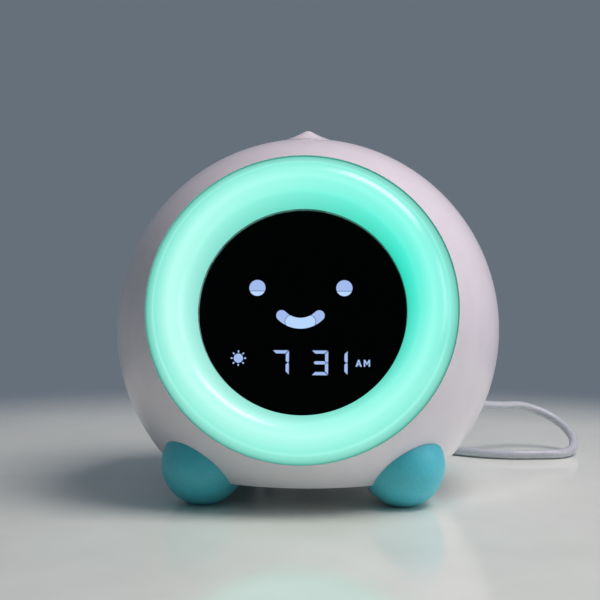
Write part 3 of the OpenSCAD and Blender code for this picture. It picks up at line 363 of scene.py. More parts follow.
def copied(shape, places):
    """One shape at several places. The given shape is used up."""
    mesh = bpy.data.meshes.new("raw")
    shape.to_mesh(mesh)
    shape.free()
    made = bmesh.new()
    for place in places:
        mesh.transform(place)
        made.from_mesh(mesh)
        mesh.transform(place.inverted())
    bpy.data.meshes.remove(mesh)
    return made


print("loft, lathe and carving are ready")

# %% [markdown]
# ## From a shape to a piece of the clock
#
# Each piece is shaded smooth, with hard edges only where the surface turns by more than an angle.
# It rides on the CAD body that it belongs to, carries its finish in its material slot, and stands for CAD
# nodes.

# %% Making a piece
def make_piece(name, shape, finish, body, nodes=(), crease=32):
    """An object from a shape, dressed, riding on a body, in place of some CAD nodes."""
    bmesh.ops.recalc_face_normals(shape, faces=shape.faces)
    mesh = bpy.data.meshes.new(name)
    shape.to_mesh(mesh)
    shape.free()
    mesh.shade_smooth()
    mesh.set_sharp_from_angle(angle=math.radians(crease))
    mesh.materials.append(finish)
    piece = in_scene(name, mesh)
    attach(piece, body)
    if nodes:
        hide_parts(*nodes)
    return piece


def shift(x, y, z):
    """A move by millimetres."""
    return Matrix.Translation(Vector((x, y, z)) * MM)


def turn(degrees, axis):
    """A turn about an axis."""
    return Matrix.Rotation(math.radians(degrees), 4, axis)


print("pieces can be made")

# %% [markdown]
# ## Soft white PVC
#
# The lead's jacket and its moulded plugs are soft PVC, extruded or injected. It has a satin skin
# with a broad, weak highlight, and a faint grain from the die. The real white has a grey-blue
# cast beside the clock's warmer white.

# %% Soft white PVC and bright nickel
soft_pvc, tree, shader = new_finish("soft_white_pvc", "#c2c7cc", 0.36, ior=1.53)
mottle(tree, shader, "#c5cacf", "#bec3c8", grain_mm=1.5, depth_mm=0.02)

nickel, tree, shader = new_finish("bright_nickel_plate", "#cfccc4", 0.2, metallic=1.0)
mottle(tree, shader, "#d2cfc7", "#c9c6be", grain_mm=0.8, depth_mm=0.003)
print("lead finishes", soft_pvc.name, nickel.name)

# %% [markdown]
# ## Plugs
#
# The power plug is a right-angle barrel plug. Its body and its arm are turned shapes that melt
# into each other, and the arm's tail is a strain relief with rings, so that it bends evenly. The
# USB plug has a flat grip that is pinched in the middle, and a folded shell of plated steel with
# two windows, a white tongue and four contacts.

# %% Ringed strain relief
# One rib and its groove: the place as a share of their length, and the depth in millimetres.
RIB = ((0.0, 0.0), (0.52, 0.0), (0.62, 0.42), (0.9, 0.42))
SLEEVE_WALL = 0.3


def relief(start, start_r, end, end_r, ribs):
    """(radius, height) points of a tapered sleeve with that many grooves in it."""
    points = []
    for rib in range(ribs):
        for place, depth in RIB:
            share = (rib + place) / ribs
            points.append((start_r + (end_r - start_r) * share - depth, start + (end - start) * share))
    return [*points, (end_r, end), (end_r - SLEEVE_WALL, end)]


print("a sleeve with one groove has", len(relief(0, 3, 4, 3, 1)), "points")

# %% Right-angle power plug
PLUG_AT = (14, BACK_DEPTH / MM, -36.08)
AXIS_H, PLUG_EDGE = 7.1, 0.4
ARM_R, ARM_L, ARM_EDGE, SLEEVE_END = 3.6, 9.0, 0.6, 24
BORE_R, BARREL_R, BARREL_L = 0.75, 1.75, 9
plug_back = BODY @ shift(*PLUG_AT) @ turn(-90, "X")
plug_arm = BODY @ shift(PLUG_AT[0], PLUG_AT[1] + AXIS_H, PLUG_AT[2]) @ turn(90, "Y")
dome = [
    (PLUG_R * math.cos(math.radians(a)), AXIS_H + PLUG_R * math.sin(math.radians(a)))
    for a in range(0, 90, 9)
]
plug_side = [(0, 0), (PLUG_R - PLUG_EDGE, 0), (PLUG_R, PLUG_EDGE), *dome, (0, AXIS_H + PLUG_R)]
plug_shape = turned(plug_side, plug_back, 48)
sleeve = relief(ARM_L + 0.1, 3.2, SLEEVE_END, 2.4, 7)
arm = [(0, 0), (ARM_R, 0), (ARM_R, ARM_L - ARM_EDGE), (ARM_R - 0.3, ARM_L), *sleeve, (0, SLEEVE_END)]
turned(arm, plug_arm, 48, plug_shape)
plug_body = make_piece(
    "power_plug", plug_shape, soft_pvc, "clock", ["dc_plug"], crease=40
)
barrel_side = [
    (BORE_R, 0.1), (BARREL_R, 0.1), (BARREL_R, 0.3 - BARREL_L), (BARREL_R - 0.25, -BARREL_L),
    (BORE_R, -BARREL_L),
]
barrel = turned(barrel_side, plug_back, 32, closed=True)
plug_barrel = make_piece("power_plug_barrel", barrel, nickel, "clock")
print("power plug", [round(side / MM, 1) for side in plug_body.dimensions])

# %% USB plug
usb_at = Matrix.Translation(USB_EXIT * MM) @ turn(90, "X")
GRIP_W, GRIP_T, GRIP_ROUND, GRIP_LOW = 15, 7.6, 2.2, 10
CAN_W, CAN_T, CAN_WALL, CAN_LOW, CAN_TOP = 12, 4.5, 0.3, 27.5, 40
WINDOW_W, WINDOW_H, WINDOW_X, WINDOW_MID = 2, 2.4, 2.6, 34.6
TONGUE_W, TONGUE_T, TONGUE_TOP, CONTACT_W, CONTACT_T = 11.2, 1.8, 39.2, 1.0, 0.12

# The grip's height above the lead's end, and how far it is drawn in there.
GRIP = (
    (GRIP_LOW, 1.4), (10.3, 0.6), (11, 0.1), (15, 0.0), (17, 0.5), (21, 0.5), (23, 0.0), (27.2, 0.1),
    (28, 0.9),
)
sleeve = relief(0.1, 2.3, GRIP_LOW, 3.3, 5)
usb_shape = turned([(0, 0), (LEAD_D / 2 / MM, 0), *sleeve, (0, GRIP_LOW + 0.2)], usb_at, 48)
grip = [(rectangle(GRIP_W - 2 * pinch, GRIP_T - pinch, GRIP_ROUND), high) for high, pinch in GRIP]
lofted(grip, usb_at, usb_shape)
usb_grip = make_piece("usb_plug_grip", usb_shape, soft_pvc, "clock", ["usb_plug"], 40)

outer = rectangle(CAN_W, CAN_T, 0.5)
inner = rectangle(CAN_W - 2 * CAN_WALL, CAN_T - 2 * CAN_WALL, 0.3)
can = lofted([(outer, CAN_LOW), (outer, CAN_TOP), (inner, CAN_TOP), (inner, CAN_LOW + 1)], usb_at)
windows = bmesh.new()
for side in (-1, 1):
    hole = rectangle(WINDOW_W, WINDOW_H, 0, (side * WINDOW_X, WINDOW_MID))
    lofted([(hole, -CAN_T), (hole, CAN_T)], usb_at @ turn(90, "X"), windows)
usb_can = make_piece("usb_plug_can", carved(can, windows), nickel, "clock")

tongue_end = rectangle(TONGUE_W, TONGUE_T, 0.1, (0, TONGUE_T / 2))
tongue = lofted([(tongue_end, CAN_LOW + 0.9), (tongue_end, TONGUE_TOP)], usb_at)
usb_tongue = make_piece("usb_plug_tongue", tongue, soft_pvc, "clock")
contacts = bmesh.new()
for long, across in ((6.4, -3.5), (7.4, -1.0), (7.4, 1.0), (6.4, 3.5)):
    contact = rectangle(CONTACT_W, CONTACT_T, 0, (across, -0.05))
    lofted([(contact, TONGUE_TOP - 0.4 - long), (contact, TONGUE_TOP - 0.4)], usb_at, contacts)
usb_contacts = make_piece("usb_plug_contacts", contacts, nickel, "clock")
print("usb plug", [round(side / MM, 1) for side in usb_grip.dimensions])

# %% [markdown]
# ## The tie round the coil
#
# The spare lead is held by a strap of hook-and-loop tape: a band once round the bundle, with its
# end lapped over the top. Its nylon is woven, which the eye sees as a fine matt grain.

# %% Hook-and-loop tie
THREAD_PITCH = 0.5236
woven_nylon, tree, shader = new_finish("woven_nylon_tape", "#d9dade", 0.8, more={"Sheen Weight": 0.3})
place = add(tree, "TexCoord").outputs["Object"]
threads = {"Vector": place, "Scale": wave_scale(THREAD_PITCH), "Distortion": 2.0, "Detail": 2.0}
weave = add(tree, "TexWave", threads).outputs["Fac"]
tree.links.new(two_tone(tree, weave, "#cfd1d6", "#e2e3e6", 0, 1), shader.inputs["Base Color"])
emboss(tree, shader, weave, 0.08)

BUNDLE_W, BUNDLE_H, TAPE_T, TAPE_W, LAP_T = 13.88, 18.1, 0.8, 4.0, 0.6
TIE_HEADING, TAPE_PRESS = 215, 0.1
tie_mid = shift(COIL_MID_R, 0, TAPE_T + BUNDLE_H / 2 - TAPE_PRESS)
tie_at = shift(*COIL_AT, 0) @ turn(TIE_HEADING, "Z") @ tie_mid @ turn(90, "X")
outside = rectangle(BUNDLE_W + 2 * TAPE_T, BUNDLE_H + 2 * (TAPE_T - TAPE_PRESS), 3.2)
inside = rectangle(BUNDLE_W, BUNDLE_H, 2.4)
band = lofted(
    [(outside, -TAPE_W / 2), (outside, TAPE_W / 2), (inside, TAPE_W / 2), (inside, -TAPE_W / 2)],
    tie_at,
    closed=True,
)
lap_low = BUNDLE_H / 2 + TAPE_T - TAPE_PRESS
lap = softened([(-4.6, -2, 0.6), (4.2, -2, 1.2), (4.2, 2, 1.2), (-4.6, 2, 0.6)])
lofted([(lap, lap_low - 0.05), (lap, lap_low + LAP_T)], tie_at @ turn(-90, "X"), band)
tie = make_piece("lead_tie", band, woven_nylon, "clock", ["cord_tie"])
print("tie", [round(side / MM, 1) for side in tie.dimensions])

# %% [markdown]
# ## The lead
#
# The lead is a curve along the route, with a round section of 4 mm. The plugs and the tie are on it.

# %% The lead as one curve
lead_curve = bpy.data.curves.new("power_lead", "CURVE")
lead_curve.dimensions = "3D"
lead_curve.bevel_depth = LEAD_D / 2
lead_curve.bevel_resolution = 3
lead_curve.use_fill_caps = True
lead_curve.materials.append(soft_pvc)
spline = lead_curve.splines.new("POLY")
spline.points.add(len(route) - 1)
for point, place in zip(spline.points, route):
    point.co = (*place, 1)
power_lead = in_scene("power_lead", lead_curve)
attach(power_lead, "clock")
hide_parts("cord_lead", "cord_coil", "cord_tail")
print("lead of", len(spline.points), "points, with seven pieces on it")

# %% [markdown]
# ## The table top
#
# The clock stands on a pale, slightly glossy table top. It is one wide disc. Some way off, on every
# side, the lacquer turns clear and the plain grey-blue backdrop shows instead, so that no edge or
# horizon line is seen.

# %% Table top
TABLE_R = 2.5
FADE_FROM, FADE_TO, FADE_MID = 0.27, 0.42, (0, -0.1, 0)
RINGS = (0.1, 0.2, 0.3, 0.45, 0.7, 1.2, TABLE_R)
SPOKES = 64

lacquer, tree, shader = new_finish("lacquered_table_top", "#f1f7ec", 0.13)
mottle(tree, shader, "#f3f9ee", "#edf3e8", grain_mm=40, depth_mm=0.01)
place = add(tree, "TexCoord").outputs["Object"]
off = add(tree, "VectorMath", {0: place, 1: FADE_MID}, operation="DISTANCE").outputs["Value"]
clear = {"Value": off, "From Min": FADE_FROM, "From Max": FADE_TO, "To Min": 1.0, "To Max": 0.0}
fade = add(tree, "MapRange", clear, interpolation_type="SMOOTHSTEP")
tree.links.new(fade.outputs["Result"], shader.inputs["Alpha"])


def corner(ring, spoke):
    """The number of a corner, counted ring by ring after the one in the middle."""
    return 1 + SPOKES * ring + spoke % SPOKES


corners = [(0, 0, 0)] + [(*p, 0) for r in RINGS for p in circle(r, SPOKES)]
faces = [(0, corner(0, k), corner(0, k + 1)) for k in range(SPOKES)]
for n in range(len(RINGS) - 1):
    for k in range(SPOKES):
        faces.append((corner(n, k), corner(n + 1, k), corner(n + 1, k + 1), corner(n, k + 1)))
table_mesh = bpy.data.meshes.new("table_top")
table_mesh.from_pydata(corners, [], faces)
table_mesh.materials.append(lacquer)
table_top = in_scene("table_top", table_mesh)
print("table top", 2 * TABLE_R, "m across")

# %% [markdown]
# ## The backdrop and the light
#
# The backdrop is the world: plain grey-blue behind the clock and at its sides, which gives the cool
# shade on the ball's left, and darker in front, which keeps the shade under the ball deep. A big
# soft lamp above, a little to the right, gives the pink-white top. A weaker one low on the right
# lights the right side. Plain view colours are used, so that a hex value shows as it is written.

# %% Backdrop and lamps
DARK_FRONT, PLAIN_BACK, DARK_UNTIL, PLAIN_FROM = "#3d444c", "#66707b", -0.6, 0.1

bpy.context.scene.view_settings.view_transform = "Standard"
backdrop = bpy.data.worlds.new("dim_backdrop")
backdrop.use_nodes = True
tree = backdrop.node_tree
toward = add(tree, "SeparateXYZ", {"Vector": add(tree, "TexCoord").outputs["Generated"]}).outputs["Y"]
behind = add(tree, "MapRange", {"Value": toward, "From Min": DARK_UNTIL, "From Max": PLAIN_FROM})
backdrop_tone = two_tone(tree, behind.outputs["Result"], DARK_FRONT, PLAIN_BACK, 0, 1)
tree.links.new(backdrop_tone, tree.nodes["Background"].inputs["Color"])
bpy.context.scene.world = backdrop


def soft_lamp(name, direction, distance, size, power, colour):
    """A square area lamp that shines at the ball's centre from that direction."""
    data = bpy.data.lights.new(name, "AREA")
    data.shape, data.size, data.energy = "SQUARE", size, power
    data.color = linear(colour)[:3]
    lamp = in_scene(name, data)
    lamp.location = CENTRE + Vector(direction).normalized() * distance
    lamp.rotation_euler = (CENTRE - lamp.location).to_track_quat("-Z", "Y").to_euler()


soft_lamp("lamp_above", (0.42, -0.1, 0.9), 0.9, 0.5, 6.2, "#fff1f5")
soft_lamp("lamp_right", (0.93, -0.2, 0.3), 0.9, 0.45, 1.5, "#f3f1ff")
print("two lamps and a backdrop of", [round(share, 3) for share in linear(PLAIN_BACK)[:3]])

# %% [markdown]
# ## Glossy shell plastic
#
# The two shells, the top button, the rear panel and the battery parts are moulded in glossy white
# ABS. It has a clear highlight with soft edges, and a skin that ripples very faintly, as moulded
# plastic does over its cooling wall. The two shells meet in a fine parting line.

# %% Moulded glossy ABS
gloss_abs, tree, shader = new_finish("moulded_gloss_abs", "#f1ebf0", 0.2, ior=1.53)
mottle(tree, shader, "#f2ecf1", "#efe9ee", grain_mm=9, depth_mm=0.006, detail=1.0)
dress(gloss_abs, "front_shell", "rear_shell", "base_plate", "rear_panel", "top_button", "battery_door")
print("shells dressed")

# %% [markdown]
# ## Shape of the light ring
#
# The ring is the clock's biggest moulding after the shells. Its outline follows the ball, steps up
# a fine lip near the rim, turns over a round crest and falls steeply to the window. It is a turned
# shape, so the whole of it is that one outline, with the crest drawn as an arc that meets the ball
# and the slope without a corner. The wall is 2.2 mm thick and open at the back.

# %% Turning the ring
VIEW_R, CREST, CREST_ROUND = 38.5, (47.8, 49.07), 6.5
RIM_R, LIP_R, LIP_LOW, LIP_STEP, RING_WALL = 56.8, 53.8, 0.6, 0.35, 2.2
SEAT, WINDOW_TOP = 46.477, 41.477
SLOPE_PARTS = 8


def arc(mid, radius, start, end, parts):
    """Points of an arc, from one angle to another in degrees."""
    angles = [math.radians(start + (end - start) * k / parts) for k in range(parts + 1)]
    return [(mid[0] + radius * math.cos(a), mid[1] + radius * math.sin(a)) for a in angles]


def on_ball(radius, lower=0.0):
    """The ball's angle at that distance from the axis, and its reach; lower makes it smaller."""
    reach = BALL_R / MM - lower
    return math.degrees(math.acos(radius / reach)), reach


def ring_skin(inset):
    """The ring's outer or inner outline, from the rim to the window."""
    low_start, low_reach = on_ball(RIM_R - inset, LIP_LOW + inset)
    low_end = on_ball(LIP_R, LIP_LOW + inset)[0]
    top_start, top_reach = on_ball(LIP_R - LIP_STEP, inset)
    tangent = math.degrees(math.atan2(CREST[1], CREST[0]))
    across, drop = CREST[0] - VIEW_R, CREST[1] - WINDOW_TOP
    slope = math.degrees(math.atan2(drop, across)) + math.degrees(
        math.asin(CREST_ROUND / math.hypot(across, drop))
    )
    crest_arc = arc(CREST, CREST_ROUND - inset, tangent, slope + 90, 20)
    touch_r, touch_h = crest_arc[-1]
    fall = touch_h - WINDOW_TOP
    run = fall / math.tan(math.radians(slope))
    shares = [k / SLOPE_PARTS for k in range(1, SLOPE_PARTS + 1)]
    return [
        *arc((0, 0), low_reach, low_start, low_end, 5),
        *arc((0, 0), top_reach, top_start, tangent, 8)[:-1],
        *crest_arc,
        *[(touch_r - run * share, touch_h - fall * share) for share in shares],
    ]


skin = ring_skin(0)
hollow = ring_skin(RING_WALL)
ring_section = [(RIM_R, SEAT), *skin, *hollow[::-1], (RIM_R - RING_WALL, SEAT)]
print("ring section of", len(ring_section), "points, crest at", round(max(p[1] for p in skin), 2), "mm")

# %% [markdown]
# ## The ring's glow, with painted light and shade
#
# The ring is moulded in milky polycarbonate, lit from inside by a ring of lamps. Light soaks
# through it, so the crest, nearest to the lamps, is the brightest. Painted light and shade are in
# the emission too: the outer edge is dimmer, partly from the glow and partly painted shade on the
# low lip band; a lighter line at the lip's step is a painted highlight; and the steep inner slope
# is the deepest mint, partly painted shade. The lower left is paler than the right with painted
# lamp light, so two ramps over the distance from the axis, one deep with painted shade and one pale
# with painted light, are mixed by the direction in the face. The glow is the shader's emission,
# painted light and shade included, and the gloss of the moulding lies over it.

# %% Places in the face
def place_in_face(tree):
    """Where a point is in the face's own frame, in metres, as a vector output."""
    place = add(tree, "TexCoord").outputs["Object"]
    moved = add(tree, "VectorMath", {0: place, 1: tuple(CENTRE)}, operation="SUBTRACT").outputs["Vector"]
    upright = {"Vector": moved, "Angle": LEAN - math.pi / 2}
    return add(tree, "VectorRotate", upright, rotation_type="X_AXIS").outputs["Vector"]


print("the face is turned back by", round(math.degrees(math.pi / 2 - LEAN), 1), "degrees")

# %% Lit milky polycarbonate, with painted light and shade
lit = {"Emission Strength": 1.04}
milky, tree, shader = new_finish("lit_milky_polycarbonate_with_painted_light", "#697773", 0.24, ior=1.58, more=lit)
flat = {0: place_in_face(tree), 1: (1, 1, 0)}
in_face = add(tree, "VectorMath", flat, operation="MULTIPLY").outputs["Vector"]
reach = add(tree, "VectorMath", {0: in_face}, operation="LENGTH").outputs["Value"]
across = add(tree, "MapRange", {"Value": reach, "From Min": VIEW_R * MM, "From Max": RIM_R * MM})
heading = add(tree, "VectorMath", {0: in_face}, operation="NORMALIZE").outputs["Vector"]
# Painted light: points towards this side of the face get more of the paler ramp, as if the lamps lit them
# more.
PAINTED_LIGHT_SIDE, PAINTED_LIGHT_POWER = math.radians(205), 0.7
to_painted_light = {0: heading, 1: (math.cos(PAINTED_LIGHT_SIDE), math.sin(PAINTED_LIGHT_SIDE), 0)}
share = add(tree, "VectorMath", to_painted_light, operation="DOT_PRODUCT").outputs["Value"]
share = add(tree, "MapRange", {"Value": share, "From Min": -1.0, "From Max": 1.0}).outputs["Result"]
painted_light_share = add(tree, "Math", {0: share, 1: PAINTED_LIGHT_POWER}, operation="POWER").outputs["Value"]

# Both ramps carry a darker outer lip band, which is painted shade, and a lighter line at the lip's step,
# which is a painted highlight. The first ramp is the side in painted shade, deepest mint on the inner slope.
# The second is the side with painted lamp light.
GLOW_WITH_PAINTED_SHADE = (
    (0.0, "#00d1b3"), (0.2, "#42e6ce"), (0.5, "#7ef2df"), (0.78, "#5ed6c2"), (0.835, "#70ddca"),
    (0.865, "#5ccdb9"), (0.95, "#4cb5a3"), (1.0, "#358f7e"),
)
GLOW_WITH_PAINTED_LIGHT = (
    (0.0, "#86d3c6"), (0.2, "#9ee6d8"), (0.5, "#b2f5e8"), (0.78, "#84e2d0"), (0.835, "#94e7d7"),
    (0.865, "#82dac8"), (0.95, "#6cc5b3"), (1.0, "#489f8e"),
)
tones = []
for tone in (GLOW_WITH_PAINTED_SHADE, GLOW_WITH_PAINTED_LIGHT):
    ramp = add(tree, "ValToRGB", {"Fac": across.outputs["Result"]})
    for share_in, _ in tone[1:-1]:
        ramp.color_ramp.elements.new(share_in)
    for element, (share_in, colour) in zip(ramp.color_ramp.elements, tone):
        element.position, element.color = share_in, linear(colour)
    tones.append(ramp.outputs["Color"])
# The glow, with its painted light and shade, becomes the emission colour.
glow_and_painted_light = add(tree, "MixRGB", {"Fac": painted_light_share, "Color1": tones[0], "Color2": tones[1]})
tree.links.new(glow_and_painted_light.outputs["Color"], shader.inputs["Emission Color"])

ring_shape = turned(ring_section, FACE, 192, closed=True)
light_ring = make_piece("glow_ring", ring_shape, milky, "clock", ["light_ring"])
print("light ring", [round(side / MM, 1) for side in light_ring.dimensions])

# %% [markdown]
# ## Display
#
# The window is smoked acrylic: nearly black, but clear enough for the lit marks behind it. The
# glass of the display panel behind it is black too. A black border printed on the window's back
# hides the frame that holds it.

# %% Smoked window and panel
clear = {"Alpha": 0.3, "Specular IOR Level": 0.15}
smoked, tree, shader = new_finish("smoked_acrylic", "#010102", 0.08, ior=1.49, more=clear)
smoked.blend_method = "BLEND"
dress(smoked, "display_window")

dull = {"Specular IOR Level": 0.1}
panel_glass, tree, shader = new_finish("black_display_glass", "#050507", 0.3, more=dull)
mottle(tree, shader, "#050507", "#08090b", grain_mm=2, depth_mm=0.002)
dress(panel_glass, "lcd_panel")

black_ink, tree, shader = new_finish("printed_black_ink", "#040405", 0.4, more=dull)
mottle(tree, shader, "#030304", "#060607", grain_mm=0.6, depth_mm=0.002)
BORDER_IN, BORDER_OUT, BORDER_LOW, BORDER_TOP = 36, 40.9, 39.31, 39.46
border_side = [
    (BORDER_IN, BORDER_LOW), (BORDER_OUT, BORDER_LOW), (BORDER_OUT, BORDER_TOP), (BORDER_IN, BORDER_TOP),
]
border = turned(border_side, FACE, 128, closed=True)
make_piece("window_border", border, black_ink, "clock")
print("display glass dressed")

# %% [markdown]
# ## Lit marks
#
# Each mark is a liquid-crystal segment in front of a cool white backlight. The middle of the smile
# and the lower part of each eye are a little lighter, as separate segments are. One material does
# it by the place in the face: how far a point is from the middle of the smile, and from the line
# of the eyes' lower parts.

# %% Lit display segments
MARKS_LEFT = 0.8 * MM
SMILE_MID_X, SMILE_MID_Y, SMILE_REACH, SMILE_EDGE = 3.2 * MM, -3.763 * MM, 2.5 * MM, 2.62 * MM
EYE_LOW_Y, EYE_REACH, EYE_EDGE = 6.75 * MM, 0.86 * MM, 0.9 * MM

lit_mark, tree, shader = new_finish("lit_display_segment", "#15181e", 0.5, more={"Emission Strength": 2.0})
in_face = add(tree, "SeparateXYZ", {"Vector": place_in_face(tree)})
from_mid = add(tree, "Math", {0: in_face.outputs["X"], 1: MARKS_LEFT}, operation="ADD")
aside = add(tree, "Math", {0: from_mid.outputs["Value"]}, operation="ABSOLUTE")
past = add(tree, "Math", {0: aside.outputs["Value"], 1: SMILE_MID_X}, operation="SUBTRACT")
past = add(tree, "Math", {0: past.outputs["Value"], 1: 0.0}, operation="MAXIMUM")
above = add(tree, "Math", {0: in_face.outputs["Y"], 1: SMILE_MID_Y}, operation="SUBTRACT")
both = add(tree, "CombineXYZ", {"X": past.outputs["Value"], "Y": above.outputs["Value"]})
off = add(tree, "VectorMath", {0: both.outputs["Vector"]}, operation="LENGTH")
near_smile = {"Value": off.outputs["Value"], "From Min": SMILE_REACH, "From Max": SMILE_EDGE}
smile = add(tree, "MapRange", near_smile)
low = add(tree, "Math", {0: in_face.outputs["Y"], 1: EYE_LOW_Y}, operation="SUBTRACT")
low = add(tree, "Math", {0: low.outputs["Value"]}, operation="ABSOLUTE")
near_eyes = {"Value": low.outputs["Value"], "From Min": EYE_REACH, "From Max": EYE_EDGE}
eyes = add(tree, "MapRange", near_eyes)
nearer = add(tree, "Math", {0: smile.outputs["Result"], 1: eyes.outputs["Result"]}, operation="MINIMUM")
mark_tone = two_tone(tree, nearer.outputs["Value"], "#b9d8ff", "#a3bdee", 0, 1)
tree.links.new(mark_tone, shader.inputs["Emission Color"])
dress(lit_mark, "lcd_eyes", "lcd_mouth", "lcd_sun", "lcd_am")
print("marks lit")

# %% [markdown]
# ## Digits
#
# A digit has up to seven straight strokes. Two that meet at a corner are cut at 45 degrees with a
# hair's gap between them, and at half height the strokes are cut towards the point of the middle
# one. Each stroke is one thin loft of its outline.

# %% Seven-stroke digits
DIGIT_W, DIGIT_H, STROKE, GAP = 6.1, 9.1, 1.15, 0.22
DIGITS_X, DIGITS_Y, MARK_LOW, MARK_T = (-10.1, 4.3, 11.4), -23.5, 39.277, 0.15
HALF, TIP = DIGIT_H / 2, STROKE / 2
top_bar = [
    (GAP, DIGIT_H), (DIGIT_W - GAP, DIGIT_H), (DIGIT_W - GAP - STROKE, DIGIT_H - STROKE),
    (GAP + STROKE, DIGIT_H - STROKE),
]
side_bar = [
    (DIGIT_W, DIGIT_H - GAP), (DIGIT_W, HALF + GAP), (DIGIT_W - TIP, HALF + GAP / 2),
    (DIGIT_W - STROKE, HALF + GAP / 2 + TIP), (DIGIT_W - STROKE, DIGIT_H - GAP - STROKE),
]
middle_bar = [
    (TIP + GAP, HALF), (STROKE + GAP, HALF + TIP), (DIGIT_W - STROKE - GAP, HALF + TIP),
    (DIGIT_W - TIP - GAP, HALF), (DIGIT_W - STROKE - GAP, HALF - TIP), (STROKE + GAP, HALF - TIP),
]


def flipped(outline):
    """An outline turned over about the digit's half height."""
    return [(x, DIGIT_H - y) for x, y in outline[::-1]]


SEVEN = [top_bar, side_bar, flipped(side_bar)]
THREE = [*SEVEN, middle_bar, flipped(top_bar)]
ONE = [side_bar, flipped(side_bar)]
digits = bmesh.new()
for strokes, along in zip((SEVEN, THREE, ONE), DIGITS_X):
    digit_at = FACE @ shift(along - MARKS_LEFT / MM, DIGITS_Y, MARK_LOW)
    for outline in strokes:
        lofted([(outline, 0), (outline, MARK_T)], digit_at, digits)
digit_strokes = make_piece("digit_strokes", digits, lit_mark, "clock", ["lcd_digits"])
print("digits", [round(side / MM, 1) for side in digit_strokes.dimensions])

# %% [markdown]
# ## Feet
#
# The feet are moulded in soft thermoplastic rubber, matt and slightly grained, so that the clock
# doesn't slide.

# %% Soft teal rubber
bloom = {"Sheen Weight": 0.15, "Sheen Roughness": 0.5}
soft_tpe, tree, shader = new_finish("soft_teal_rubber", "#50d0de", 0.45, more=bloom)
mottle(tree, shader, "#4ecddb", "#57d6e4", grain_mm=0.7, depth_mm=0.03, detail=3.0)
dress(soft_tpe, "foot_front_left", "foot_front_right", "foot_rear_left", "foot_rear_right")
print("feet dressed")

# %% [markdown]
# ## Key caps
#
# The six keys on the back are small round caps, each with a soft edge, on a flange that stops it
# from falling out. A raised sign on each says what it does: light, sound, up, down, alarm and
# clock. The cap is a turned shape, and the signs are thin lofts of plain outlines, printed white.

# %% Outlines of the caps and their signs
KEY_PLACE_R, KEY_START, KEY_STEP, KEY_TOP = 32.08, 27.5, 25, 59.475
STEM_R, FLANGE_R, CAP_R, CAP_ROUND = 1.6, 5.6, 4.4, 0.6
STEM_LOW, FLANGE_LOW, FLANGE_TOP = 51.8, 54.925, 55.725
CAP = [
    (0, STEM_LOW), (STEM_R, STEM_LOW), (STEM_R, FLANGE_LOW), (FLANGE_R, FLANGE_LOW),
    (FLANGE_R, FLANGE_TOP), (CAP_R, FLANGE_TOP), (CAP_R, KEY_TOP - CAP_ROUND - 0.075),
    *arc((CAP_R - CAP_ROUND, KEY_TOP - CAP_ROUND), CAP_ROUND, 0, 90, 5),
    (CAP_R - 1.5, KEY_TOP - 0.03), (0, KEY_TOP - 0.05),
]
LINE_W, RAYS, RAY_FROM, RAY_TO, DIAL_R = 0.42, 8, 1.6, 2.5, 2.1


def strip(start, end, wide):
    """A straight stroke between two points."""
    start, end = Vector(start), Vector(end)
    side = (end - start).orthogonal().normalized() * wide / 2
    return [tuple(start - side), tuple(end - side), tuple(end + side), tuple(start + side)]


def bow(radius, wide, spread, mid=(0, 0)):
    """A stroke along an arc that opens to the right."""
    return arc(mid, radius + wide / 2, -spread, spread, 8) + arc(mid, radius - wide / 2, spread, -spread, 8)


rays = [strip(start, end, LINE_W) for start, end in zip(circle(RAY_FROM, RAYS), circle(RAY_TO, RAYS))]
bell = [
    (-2.1, -1.3), (2.1, -1.3), (1.5, -0.5), (1.35, 0.7), (0.9, 1.6), (-0.9, 1.6), (-1.35, 0.7), (-1.5, -0.5),
]
horn = [(-2.3, -0.7), (-1.3, -0.7), (-0.1, -1.8), (-0.1, 1.8), (-1.3, 0.7), (-2.3, 0.7)]
right_half = bow(DIAL_R, LINE_W, 90)
dial = [right_half, [(-x, y) for x, y in right_half][::-1]]
SIGNS_ON_KEYS = {
    "key_light": [circle(1.05, 24), *rays],
    "key_sound": [horn, bow(0.9, 0.4, 50, (0.1, 0)), bow(1.9, 0.4, 50, (0.1, 0))],
    "key_up": [softened([(-1.9, -1.2, 0.3), (1.9, -1.2, 0.3), (0, 1.8, 0.3)])],
    "key_down": [softened([(-1.9, 1.2, 0.3), (0, -1.8, 0.3), (1.9, 1.2, 0.3)])],
    "key_alarm": [softened([(*p, 0.35) for p in bell]), circle(0.5, 16, (0, -1.95))],
    "key_clock": [*dial, strip((0, -0.2), (0, 1.5), LINE_W), strip((-0.2, 0), (1.1, 0), LINE_W)],
}
print("outlines of each sign:", [len(outlines) for outlines in SIGNS_ON_KEYS.values()])

# %% Caps with raised signs
SIGN_SUNK, SIGN_PROUD = 0.06, 0.1
teal_abs, tree, shader = new_finish("satin_teal_abs", "#42abbb", 0.36, ior=1.53)
mottle(tree, shader, "#40a8b8", "#47b1c1", grain_mm=0.6, depth_mm=0.01)
white_ink, tree, shader = new_finish("printed_white_ink", "#eceef0", 0.45)
mottle(tree, shader, "#eff0f2", "#e6e9eb", grain_mm=0.5, depth_mm=0.005)

for index, (key, outlines) in enumerate(SIGNS_ON_KEYS.items()):
    angle = math.radians(KEY_START + KEY_STEP * index)
    key_at = BACK @ shift(KEY_PLACE_R * math.cos(angle), KEY_PLACE_R * math.sin(angle), 0)
    make_piece(key + "_cap", turned(CAP, key_at, 48), teal_abs, key, [key])
    print_on = bmesh.new()
    for outline in outlines:
        lofted([(outline, KEY_TOP - SIGN_SUNK), (outline, KEY_TOP + SIGN_PROUD)], key_at, print_on)
    make_piece(key + "_sign", print_on, white_ink, key)
print("keys", list(SIGNS_ON_KEYS))

